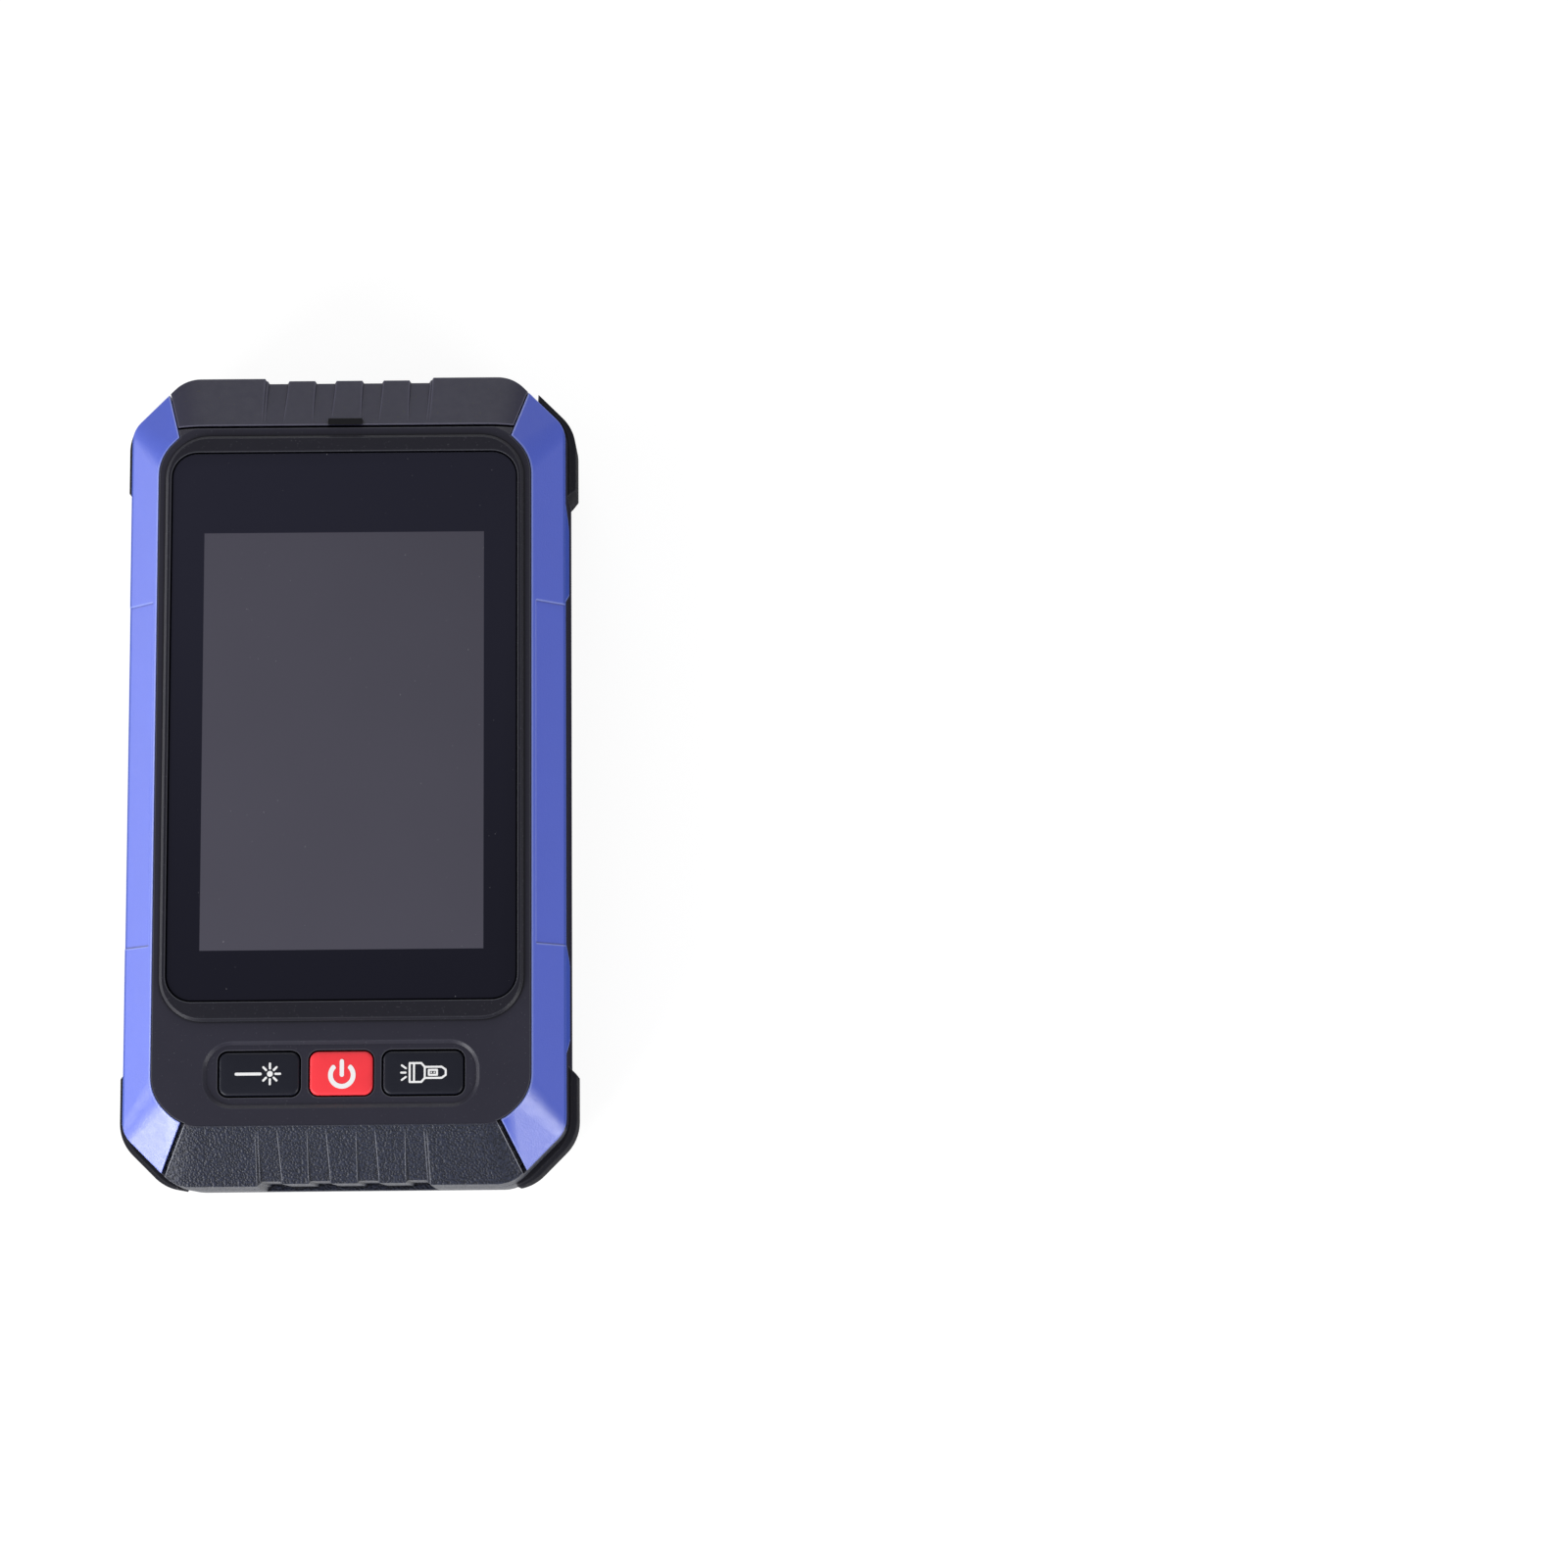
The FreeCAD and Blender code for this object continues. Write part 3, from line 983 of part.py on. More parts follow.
def processor_shield():
    z0 = MAIN_BOARD_Z - SHIELD_HEIGHT
    w, t = SHIELD_HALF_WIDTH, SHIELD_SHEET
    y1 = TONGUE_TOP_Y - SHIELD_END_INSET
    y0 = y1 - SHIELD_LENGTH
    return box(-w, w, y0, y1, z0, MAIN_BOARD_Z).cut(box(t - w, w - t, y0 + t, y1 - t, z0 + t, MAIN_BOARD_Z))


def battery_connector():
    w, h = PLUG_WIDTH / 2, PLUG_LENGTH / 2
    return box(PLUG_X - w, PLUG_X + w, PLUG_Y - h, PLUG_Y + h, MAIN_BOARD_Z - PLUG_HEIGHT, MAIN_BOARD_Z)


def buzzer():
    body = post(BUZZER_X, BUZZER_Y, FLOOR, FLOOR + BUZZER_HEIGHT, BUZZER_RADIUS, ROUND_SIDES)
    return body.cut(post(BUZZER_X, BUZZER_Y, FLOOR - OVERCUT, FLOOR + BUZZER_HEIGHT / 2, BUZZER_HOLE_RADIUS))


def charging_socket():
    """Socket shell below the board's tongue, open towards the port bay, with its contact tongue."""
    y0 = BAY_Y - SOCKET_DEPTH
    middle = MAIN_BOARD_Z - SOCKET_HEIGHT / 2
    side = SOCKET_WIDTH / 2 - SOCKET_HEIGHT / 2

    def sleeve(half, start, end):
        core = box(SOCKET_X - side, SOCKET_X + side, start, end, middle - half, middle + half)
        return core.fuse([rod_y(SOCKET_X - side, middle, start, end, half),
                          rod_y(SOCKET_X + side, middle, start, end, half)])

    half = SOCKET_HEIGHT / 2
    shell = sleeve(half, y0, BAY_Y).cut(sleeve(half - SOCKET_WALL, y0 + SOCKET_BACK, BAY_Y + OVERCUT))
    tongue = box(SOCKET_X - SOCKET_TONGUE_HALF_WIDTH, SOCKET_X + SOCKET_TONGUE_HALF_WIDTH, y0 + ROOT,
                 BAY_Y - SOCKET_BACK, middle - SOCKET_TONGUE / 2, middle + SOCKET_TONGUE / 2)
    return shell.fuse(tongue).removeSplitter()


def torch_led():
    """Lamp whose lens stands out of the port panel, with a softened front edge."""
    y0, y1 = BAY_Y - TORCH_BODY, BAY_Y + TORCH_PROUD
    body = rod_y(TORCH_X, TORCH_Z, y0, y1, TORCH_RADIUS)
    body = body.makeChamfer(TORCH_RADIUS / 3, [e for e in body.Edges if e.BoundBox.YMin > y1 - PORT_FIT])
    return body.fuse(rod_y(TORCH_X, TORCH_Z, y0, y0 + OVERCUT, TORCH_RADIUS + TORCH_RIM)).removeSplitter()


# Ports

def port_panel():
    """Plate held in the slot between the shells, with one hole for each port."""
    w, f = PORT_PANEL_HALF_WIDTH, PORT_PANEL_FLANGE
    z0, z1 = PORT_PANEL_LOW_Z, PORT_PANEL_HIGH_Z
    y0 = PORT_PANEL_BACK_Y
    plate = box(-w, w, y0, BAY_Y, z0, z1)
    plate = plate.fuse(box(-w - f, w + f, y0, y0 + PORT_PANEL_FLANGE_THICKNESS, z0 - f, z1 + f))
    a, b = y0 - OVERCUT, BAY_Y + OVERCUT
    holes = [rod_y(OTDR_PORT_X, PORT_Z, a, b, ADAPTER_BARREL_RADIUS + PORT_FIT),
             rod_y(POWER_PORT_X, PORT_Z, a, b, ADAPTER_BARREL_RADIUS + PORT_FIT),
             rod_y(LOCATOR_PORT_X, PORT_Z, a, b, LOCATOR_BARREL_RADIUS + PORT_FIT),
             rod_y(TORCH_X, TORCH_Z, a, b, TORCH_RADIUS + PORT_FIT),
             box(SOCKET_X - SOCKET_WIDTH / 2 - PORT_FIT, SOCKET_X + SOCKET_WIDTH / 2 + PORT_FIT, a, b,
                 MAIN_BOARD_Z - SOCKET_HEIGHT - PORT_FIT, MAIN_BOARD_Z + PORT_FIT)]
    return plate.cut(holes).removeSplitter()


def otdr_adapter():
    """Flanged adapter with a keyway in its barrel and a seat for the ceramic sleeve."""
    x, z = OTDR_PORT_X, PORT_Z
    h = ADAPTER_FLANGE / 2
    y1 = BAY_Y + ADAPTER_FLANGE_THICKNESS
    y2 = BAY_Y + ADAPTER_LENGTH
    flange = box(x - h, x + h, BAY_Y, y1, z - h, z + h)
    body = flange.fuse(rod_y(x, z, TAIL_Y, y2, ADAPTER_BARREL_RADIUS))
    well = rod_y(x, z, y1, y2 + OVERCUT, ADAPTER_BARREL_RADIUS - ADAPTER_BARREL_WALL).cut(
        rod_y(x, z, y1, y2 - SLEEVE_SUNK, SLEEVE_RADIUS + SLEEVE_SEAT_WALL))
    keyway = box(x - ADAPTER_KEYWAY / 2, x + ADAPTER_KEYWAY / 2, y1 + ADAPTER_KEYWAY_START, y2 + OVERCUT,
                 z, z + ADAPTER_BARREL_RADIUS + OVERCUT)
    seat = rod_y(x, z, TAIL_Y - OVERCUT, y2 + OVERCUT, SLEEVE_RADIUS)
    return body.cut([well, keyway, seat]).removeSplitter()


def otdr_sleeve():
    y1 = BAY_Y + ADAPTER_LENGTH - SLEEVE_SUNK
    return rod_y(OTDR_PORT_X, PORT_Z, TAIL_Y, y1, SLEEVE_RADIUS).cut(
        rod_y(OTDR_PORT_X, PORT_Z, TAIL_Y - OVERCUT, y1 + OVERCUT, FERRULE_RADIUS))


def power_meter_adapter():
    """Stepped cap with a plain ferrule bore in front of the detector."""
    x, z = POWER_PORT_X, PORT_Z
    body = rod_y(x, z, BAY_Y, BAY_Y + POWER_CAP_LENGTH, POWER_CAP_RADIUS)
    body = body.fuse(rod_y(x, z, TAIL_Y, BAY_Y + ADAPTER_LENGTH, ADAPTER_BARREL_RADIUS))
    return body.cut(rod_y(x, z, 0, FAR, FERRULE_RADIUS)).removeSplitter()


def fault_locator_adapter():
    """Round collar of the visible red laser, with its ferrule bore."""
    x, z = LOCATOR_PORT_X, PORT_Z
    y1 = BAY_Y + LOCATOR_LENGTH
    body = rod_y(x, z, TAIL_Y, y1, LOCATOR_BARREL_RADIUS)
    front = [e for e in body.Edges if e.BoundBox.YMin > y1 - PORT_FIT]
    return body.makeChamfer(LOCATOR_EDGE, front).cut(rod_y(x, z, 0, FAR, FERRULE_RADIUS))


def power_detector():
    """Round detector can between the optical module and the power meter port."""
    return post_y(POWER_PORT_X, PORT_Z, MODULE_TOP_Y, TAIL_Y, DETECTOR_RADIUS)


def red_laser():
    x, z = LOCATOR_PORT_X, PORT_Z
    neck_y = LASER_BACK_Y + LASER_NECK
    barrel = post_y(x, z, neck_y, TAIL_Y, LASER_RADIUS)
    return barrel.fuse(post_y(x, z, LASER_BACK_Y, neck_y, LASER_RADIUS - LASER_NECK_STEP))


# Optical module and fibre reel

def module_screw_places():
    d = MODULE_SCREW_INSET
    return [(x, y) for y in (MODULE_BOTTOM_Y + d, MODULE_TOP_Y - d)
            for x in (MODULE_LEFT_X + d, MODULE_RIGHT_X - d)]


def optical_module():
    """Milled tray with four screw posts."""
    t = MODULE_WALL
    tray = box(MODULE_LEFT_X, MODULE_RIGHT_X, MODULE_BOTTOM_Y, MODULE_TOP_Y, FLOOR, MODULE_TOP_Z)
    tray = tray.cut(box(MODULE_LEFT_X + t, MODULE_RIGHT_X - t, MODULE_BOTTOM_Y + t, MODULE_TOP_Y - t,
                        FLOOR + t, MODULE_TOP_Z))
    tray = tray.fuse([post(x, y, FLOOR + t / 2, MODULE_TOP_Z, MODULE_POST_RADIUS)
                      for x, y in module_screw_places()])
    deep = MODULE_TOP_Z + MODULE_LID - SMALL_SCREW_LENGTH
    return tray.cut([post(x, y, deep, MODULE_TOP_Z + OVERCUT, SMALL_SCREW_RADIUS)
                     for x, y in module_screw_places()])


def module_cover():
    z1 = MODULE_TOP_Z + MODULE_LID
    lid = box(MODULE_LEFT_X, MODULE_RIGHT_X, MODULE_BOTTOM_Y, MODULE_TOP_Y, MODULE_TOP_Z, z1)
    return lid.cut([post(x, y, MODULE_TOP_Z, z1, SMALL_SCREW_RADIUS + PORT_FIT)
                    for x, y in module_screw_places()])


def fibre_reel():
    """Flanged reel of the launch fibre, on a peg of the rear shell."""
    x, y = REEL_PLACE
    z0, z1 = FLOOR, FLOOR + REEL_HEIGHT
    reel = post(x, y, z0, z1, REEL_HUB_RADIUS, ROUND_SIDES)
    reel = reel.fuse([post(x, y, z0, z0 + REEL_FLANGE, REEL_RADIUS, ROUND_SIDES),
                      post(x, y, z1 - REEL_FLANGE, z1, REEL_RADIUS, ROUND_SIDES)])
    return reel.cut(post(x, y, z0, z1, REEL_BORE_RADIUS))


# Battery

def battery_cells():
    cells = []
    shoulder_y = CELL_TOP_Y - CELL_TIP
    for x in (-CELL_X, CELL_X):
        can = post_y(x, CELL_Z, CELL_BOTTOM_Y, shoulder_y, CELL_RADIUS)
        cells.append(can.fuse(post_y(x, CELL_Z, shoulder_y, CELL_TOP_Y, CELL_TIP_RADIUS, POST_SIDES)))
    return Part.makeCompound(cells)


def battery_holder():
    """Tray with two half-round seats for the cells."""
    g, t = HOLDER_GAP, HOLDER_WALL
    y0, y1 = CELL_BOTTOM_Y - g, CELL_TOP_Y + g
    tray = box(-HOLDER_HALF_WIDTH, HOLDER_HALF_WIDTH, y0 - t, y1 + t, FLOOR, FLOOR + HOLDER_HEIGHT)
    return tray.cut([post_y(x, CELL_Z, y0, y1, CELL_RADIUS + g) for x in (-CELL_X, CELL_X)])


# Fasteners

def small_screw(x, y, seat_z, up):
    """Screw whose head lies on the seat and whose shank points up or down."""
    def part(length, radius):
        return post(x, y, min(seat_z, seat_z + length), max(seat_z, seat_z + length), radius)
    return part(SMALL_SCREW_LENGTH * up, SMALL_SCREW_RADIUS).fuse(
        part(-SMALL_SCREW_HEAD * up, SMALL_SCREW_HEAD_RADIUS)).removeSplitter()


def board_screws():
    screws = [small_screw(x, y, MAIN_BOARD_Z, 1) for x, y in board_screw_places()]
    screws += [small_screw(x, y, KEY_BOARD_LOW_Z, 1) for x, y in key_board_screw_places()]
    return Part.makeCompound(screws)


def module_screws():
    seat = MODULE_TOP_Z + MODULE_LID
    return Part.makeCompound([small_screw(x, y, seat, -1) for x, y in module_screw_places()])


def case_screws():
    """Long screws with a socket in each round head."""
    screws = []
    seat = CASE_SCREW_POCKET
    face = seat - CASE_SCREW_HEAD
    for x, y in case_screw_places():
        screw = post(x, y, seat, seat + CASE_SCREW_LENGTH, CASE_SCREW_RADIUS)
        screw = screw.fuse(post(x, y, face, seat, CASE_SCREW_HEAD_RADIUS, ROUND_SIDES))
        screws.append(screw.cut(post(x, y, face, face + CASE_SCREW_DRIVE_DEPTH, CASE_SCREW_DRIVE_RADIUS)))
    return Part.makeCompound(screws)


def threaded_inserts():
    z0, z1 = PART_Z, PART_Z + INSERT_LENGTH
    return Part.makeCompound([post(x, y, z0, z1, INSERT_RADIUS).cut(post(x, y, z0, z1, CASE_SCREW_RADIUS))
                              for x, y in case_screw_places()])


def main():
    os.makedirs("parts", exist_ok=True)
    envelope = housing()
    bay = port_bay()
    inside = cavity()
    room = trim_envelope(TRIM_SEAM, TRIM_COVER_SEAM, TRIM_BAND_SEAM)
    trim_rooms = [room, mirrored(room)]
    right_bumpers = [bumper_space(True), bumper_space(False)]
    bumper_rooms = right_bumpers + [mirrored(b) for b in right_bumpers]
    save("front_shell", front_shell(envelope, bay, inside, trim_rooms))
    save("rear_shell", rear_shell(envelope, bay, inside, trim_rooms, bumper_rooms))
    save("case_seal", case_seal())

    trim = side_trim()
    save("side_trim_right", trim)
    save("side_trim_left", mirrored(trim))
    for name, bumper in zip(("top", "bottom"), right_bumpers):
        save("bumper_" + name + "_right", bumper)
        save("bumper_" + name + "_left", mirrored(bumper))

    save("port_cover", port_cover())
    save("cover_hinge_pin", cover_hinge_pin())
    for name, x, width in key_places():
        save(name, key(x, width))

    for piece in (screen_glass, glass_adhesive, display_module, display_frame, keypad_mat, key_switches,
                  key_board, keypad_ribbon, main_board, processor_shield, battery_connector, buzzer,
                  charging_socket, torch_led, port_panel, otdr_adapter, otdr_sleeve, power_meter_adapter,
                  fault_locator_adapter, power_detector, red_laser, optical_module, module_cover, fibre_reel,
                  battery_cells, battery_holder, board_screws, module_screws, case_screws, threaded_inserts):
        save(piece.__name__, piece())


main()
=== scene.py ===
import json
import math

import bmesh
import bpy
from mathutils import Matrix, Vector


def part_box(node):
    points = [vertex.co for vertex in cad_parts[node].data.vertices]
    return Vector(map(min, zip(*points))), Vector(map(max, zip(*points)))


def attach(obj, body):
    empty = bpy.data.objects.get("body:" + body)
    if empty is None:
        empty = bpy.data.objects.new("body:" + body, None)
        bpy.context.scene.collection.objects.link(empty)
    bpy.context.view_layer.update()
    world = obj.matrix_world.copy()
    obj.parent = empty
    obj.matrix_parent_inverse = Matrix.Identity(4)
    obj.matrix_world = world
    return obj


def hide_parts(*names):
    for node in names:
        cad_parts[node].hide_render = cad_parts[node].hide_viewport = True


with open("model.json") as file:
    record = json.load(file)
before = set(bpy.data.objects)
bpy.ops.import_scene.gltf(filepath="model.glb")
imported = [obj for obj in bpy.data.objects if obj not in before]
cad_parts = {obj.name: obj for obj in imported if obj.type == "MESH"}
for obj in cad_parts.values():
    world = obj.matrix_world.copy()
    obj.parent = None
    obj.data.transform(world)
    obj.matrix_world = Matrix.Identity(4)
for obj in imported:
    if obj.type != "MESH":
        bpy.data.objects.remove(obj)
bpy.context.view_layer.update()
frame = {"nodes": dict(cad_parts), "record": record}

bl_info = {
    "name": "Handheld fibre tester",
    "version": (1, 0, 0),
    "blender": (4, 5, 0),
    "location": "3D View > Sidebar > Fibre tester",
    "description": "Dresses the handheld optical time domain reflectometer and sets its stage",
    "category": "Object",
}

MM = 0.001
HOUSING = "housing"
KEYS = ("fault_locator_key", "power_key", "torch_key")
FLANGE_EDGE = 0.35                     # rounding of the flange of the test port
CROWN_STEPS = ((0.86, 0.45), (0.8, 0.35), (0.6, 0.2))  # size of each step of a key's crown, and its share
SHARP_ANGLE = 25                       # degrees between faces, past which a copied edge is rounded
BAND_START, BAND_END = -61.1, -61.7    # Y in millimetres, over which the panel turns into the grained band
SLOPE_START, SLOPE_END = 22.2, 23.0    # Z in millimetres, over which the walls turn into the slopes
RAISED_START = 28.25                   # Z in millimetres, from which a piece stands above the panel
RING_HIGH, LIP_HIGH = 28.5, 28.4       # Z at which the ring and the cover's lip are fully raised
WALL_START, WALL_END = 37.9, 38.3      # X in millimetres, over which the slopes turn into the side walls
WINDOW_HALF_WIDTH, WINDOW_HALF_LENGTH = 24.48, 36.72
WINDOW_MIDDLE_Y = 5.5
# Painted shade that darkens the grooves and the concave edges of the shells.
GROOVE_REACH, GROOVE_SHADE_SHARE = 0.7, 0.85
GROOVE_SHADE_TONE = (0.003, 0.003, 0.005)
# Painted shade on the raised ring round the glass.
RING_SHADE_TONE = (0.004, 0.004, 0.007)
# Painted shade on the cover's raised finger lip.
LIP_SHADE_TONE = (0.002, 0.002, 0.004)
# Painted highlight along the convex edges of the shells.
EDGE_HIGHLIGHT_TONE = (0.32, 0.33, 0.38)
PANEL_SPECK_TONE = (0.10, 0.10, 0.12)
BAND_SPECK_TONE = (0.12, 0.13, 0.16)
GLASS_SPECK_TONE = (0.25, 0.25, 0.27)
# Painted shade on the trims' upright side walls.
TRIM_WALL_SHADE_TONE = (0.055, 0.092, 0.42)
# Painted highlight along the trims' convex edges.
TRIM_EDGE_HIGHLIGHT_TONE = (0.34, 0.42, 0.90)
SOLDER_MASK_TONE = (0.02, 0.16, 0.07)
TRACK_TONE = (0.05, 0.30, 0.14)
LENS_TONE = (0.86, 0.88, 0.84)
SLOTS = {part["node"]: part["material_slot"] for part in frame["record"]["subparts"]}


# Sizes and colours that a user may change

def length(name, text, millimetres):
    return bpy.props.FloatProperty(name=name, description=text, default=millimetres * MM, unit="LENGTH",
                                   precision=5)


def colour(name, text, value):
    return bpy.props.FloatVectorProperty(name=name, description=text, default=value, subtype="COLOR", size=3,
                                         min=0.0, max=1.0)


class HandsetSizes(bpy.types.PropertyGroup):
    """Sizes of the finishing details"""
    shell_edge: length("Shell edge", "Softening of the moulded shell edges", 0.13)
    trim_edge: length("Trim edge", "Softening of the side trim edges", 0.4)
    bumper_edge: length("Bumper edge", "Softening of the corner bumper edges", 0.35)
    glass_edge: length("Glass edge", "Polished edge of the cover glass", 0.08)
    key_corner: length("Key corner", "Corner radius of the keys in plan", 1.5)
    key_edge: length("Key edge", "Rounding round the top of the keys", 0.5)
    key_crown: length("Key crown", "Rise of the middle of the keys", 0.1)
    legend_height: length("Legend height", "Height of the printed legends above the keys", 0.03)
    thread_pitch: length("Thread pitch", "Pitch of the threaded test port", 0.5)


class HandsetColours(bpy.types.PropertyGroup):
    """Base colours of the visible pieces"""
    housing: colour("Housing", "Black moulded shells", (0.026, 0.025, 0.040))
    band: colour("Grip band", "Grained band at the hand end", (0.016, 0.019, 0.034))
    cover: colour("Port cover", "Black moulded port cover", (0.026, 0.025, 0.052))
    bumper: colour("Bumper", "Corner bumpers", (0.016, 0.016, 0.021))
    trim: colour("Trim", "Blue-violet side trims", (0.052, 0.100, 0.61))
    glass: colour("Glass", "Masked border of the cover glass", (0.0095, 0.0095, 0.017))
    display: colour("Display", "Display seen through the glass", (0.074, 0.071, 0.094))
    key: colour("Key", "Black keys", (0.006, 0.007, 0.016))
    power_key: colour("Power key", "Red power key", (1.0, 0.045, 0.062))
    legend: colour("Legend", "White printed legends", (0.95, 0.95, 0.96))


def sizes():
    return bpy.context.scene.handset_sizes


def colours():
    return bpy.context.scene.handset_colours


# Materials

class Finish:
    """A procedural material, built up on its base shader in object coordinates."""

    def __init__(self, name, base, roughness, metallic=0.0, specular=0.5):
        self.material = bpy.data.materials.new(name)
        self.material.use_nodes = True
        self.tree = self.material.node_tree
        self.shader = self.tree.nodes["Principled BSDF"]
        self.set("Base Color", (*base, 1.0))
        self.set("Roughness", roughness)
        self.set("Metallic", metallic)
        self.set("Specular IOR Level", specular)
        self.place = self.add("ShaderNodeTexCoord").outputs["Object"]
        self.normal = None

    def set(self, socket, value):
        self.shader.inputs[socket].default_value = value

    def add(self, kind, links=(), **settings):
        node = self.tree.nodes.new(kind)
        for key, value in settings.items():
            setattr(node, key, value)
        for socket, value in dict(links).items():
            if isinstance(value, bpy.types.NodeSocket):
                self.tree.links.new(value, node.inputs[socket])
            else:
                node.inputs[socket].default_value = value
        return node

    def math(self, operation, *values):
        return self.add("ShaderNodeMath", enumerate(values), operation=operation).outputs[0]

    def noise(self, size, detail, roughness=0.5, stretch=(1, 1, 1)):
        place = self.place
        if stretch != (1, 1, 1):
            place = self.add("ShaderNodeMapping", {"Vector": place, "Scale": stretch}).outputs[0]
        return self.add("ShaderNodeTexNoise", {"Vector": place, "Scale": 1 / size, "Detail": detail,
                                               "Roughness": roughness}).outputs["Fac"]

    def cells(self, size):
        links = {"Vector": self.place, "Scale": 1 / size, "Smoothness": 0.6}
        return self.add("ShaderNodeTexVoronoi", links, feature="SMOOTH_F1").outputs["Distance"]

    def ramp(self, value, low, high):
        """Smooth step of a value from 0 at low to 1 at high."""
        return self.add("ShaderNodeMapRange", {"Value": value, "From Min": low, "From Max": high},
                        interpolation_type="SMOOTHSTEP").outputs[0]

    def axis(self, letter):
        return self.add("ShaderNodeSeparateXYZ", {0: self.place}).outputs[letter]

    def blend(self, factor, first, second):
        """Colour that goes from the first to the second, each a colour or a socket."""
        node = self.add("ShaderNodeMix", data_type="RGBA")
        for index, value in ((0, factor), (6, first), (7, second)):
            if isinstance(value, bpy.types.NodeSocket):
                self.tree.links.new(value, node.inputs[index])
            elif index:
                node.inputs[index].default_value = (*value[:3], 1.0)
            else:
                node.inputs[index].default_value = value
        return node.outputs[2]

    def shade(self, factor, value, amount):
        """The colour value, darker and lighter by the amount as the factor goes from 0 to 1."""
        low = self.blend(1.0, value, value)
        gain = self.add("ShaderNodeMapRange", {"Value": factor, "To Min": 1 - amount, "To Max": 1 + amount})
        mixed = self.add("ShaderNodeVectorMath", {0: low, "Scale": gain.outputs[0]}, operation="SCALE")
        return mixed.outputs[0]

    def paint(self, value):
        self.tree.links.new(value, self.shader.inputs["Base Color"])

    def rough(self, factor, low, high):
        value = self.add("ShaderNodeMapRange", {"Value": factor, "To Min": low, "To Max": high}).outputs[0]
        self.tree.links.new(value, self.shader.inputs["Roughness"])

    def bump(self, height, depth):
        """Adds relief, chained on the relief so far."""
        links = {"Height": height, "Distance": depth}
        if self.normal is not None:
            links["Normal"] = self.normal
        self.normal = self.add("ShaderNodeBump", links).outputs[0]
        self.tree.links.new(self.normal, self.shader.inputs["Normal"])

    def soften(self, radius):
        """Rounds the shading of every edge."""
        self.normal = self.add("ShaderNodeBevel", {"Radius": radius}, samples=6).outputs[0]
        self.tree.links.new(self.normal, self.shader.inputs["Normal"])

    def dull_walls(self, specular):
        """Keeps the upright side walls from mirroring the floor."""
        wall = self.ramp(self.math("ABSOLUTE", self.axis("X")), WALL_START * MM, WALL_END * MM)
        value = self.add("ShaderNodeMapRange", {"Value": wall, "To Min": specular, "To Max": 0.0}).outputs[0]
        self.tree.links.new(value, self.shader.inputs["Specular IOR Level"])
        return wall

    def dust(self, size, low, high):
        """1 on a few small specks and 0 elsewhere."""
        return self.ramp(self.noise(size, 1.0), low, high)

    def raised(self, high):
        """1 on what stands above the panel, up to a height in millimetres, and 0 elsewhere."""
        return self.ramp(self.axis("Z"), RAISED_START * MM, high * MM)

    def edges(self, reach):
        """1 along convex edges and 0 elsewhere."""
        solid = self.add("ShaderNodeAmbientOcclusion", {"Distance": reach}, samples=8, inside=True,
                         only_local=True).outputs["AO"]
        return self.ramp(solid, 0.985, 0.72)

    def hollows(self, reach):
        """1 in grooves and along concave edges and 0 elsewhere."""
        open_air = self.add("ShaderNodeAmbientOcclusion", {"Distance": reach}, samples=8,
                            only_local=True).outputs["AO"]
        return self.ramp(open_air, 0.97, 0.62)

    def grooves(self):
        """Share of painted shade in the grooves and along the concave edges of a moulded shell."""
        return self.math("MULTIPLY", self.hollows(GROOVE_REACH * MM), GROOVE_SHADE_SHARE)


def moulded(name, base, grain, depth, roughness, specular, specks=0.0, painted_edge_highlight=0.0):
    """Moulded black plastic with a fine grain, slight mottling and a few pale specks."""
    finish = Finish(name, base, roughness, specular=specular)
    finish.soften(sizes().shell_edge)
    mottle = finish.noise(9 * MM, 3.0)
    tone = finish.shade(mottle, base, 0.12)
    if specks:
        dust = finish.dust(0.42 * MM, 0.70, 0.76)
        pale = [specks * (0.6 + c) for c in base]
        tone = finish.blend(dust, tone, pale)
    if painted_edge_highlight:
        # Painted shade in the grooves and along the concave edges.
        tone = finish.blend(finish.grooves(), tone, [c * 0.2 for c in base])
        # Painted highlights along the convex edges, as strong as asked.
        tone = finish.blend(finish.math("MULTIPLY", finish.edges(0.3 * MM), painted_edge_highlight), tone,
                            [c * 3 + 0.09 for c in base])
    finish.paint(tone)
    finish.rough(finish.noise(1.3 * MM, 2.0), roughness - 0.06, roughness + 0.08)
    finish.bump(finish.noise(grain * MM, 2.0), depth * MM)
    finish.bump(finish.noise(grain * 4 * MM, 2.0), depth * 1.5 * MM)
    return finish


def cover_finish():
    """Plastic of the port cover, with painted shade on the finger lip that stands above the panel."""
    finish = moulded("port_cover_plastic", colours().cover, 0.22, 0.008, 0.46, 0.32, 0.06, 0.6)
    tone = finish.shader.inputs["Base Color"].links[0].from_socket
    # Painted shade on the finger lip.
    finish.paint(finish.blend(finish.raised(LIP_HIGH), tone, LIP_SHADE_TONE))
    return finish


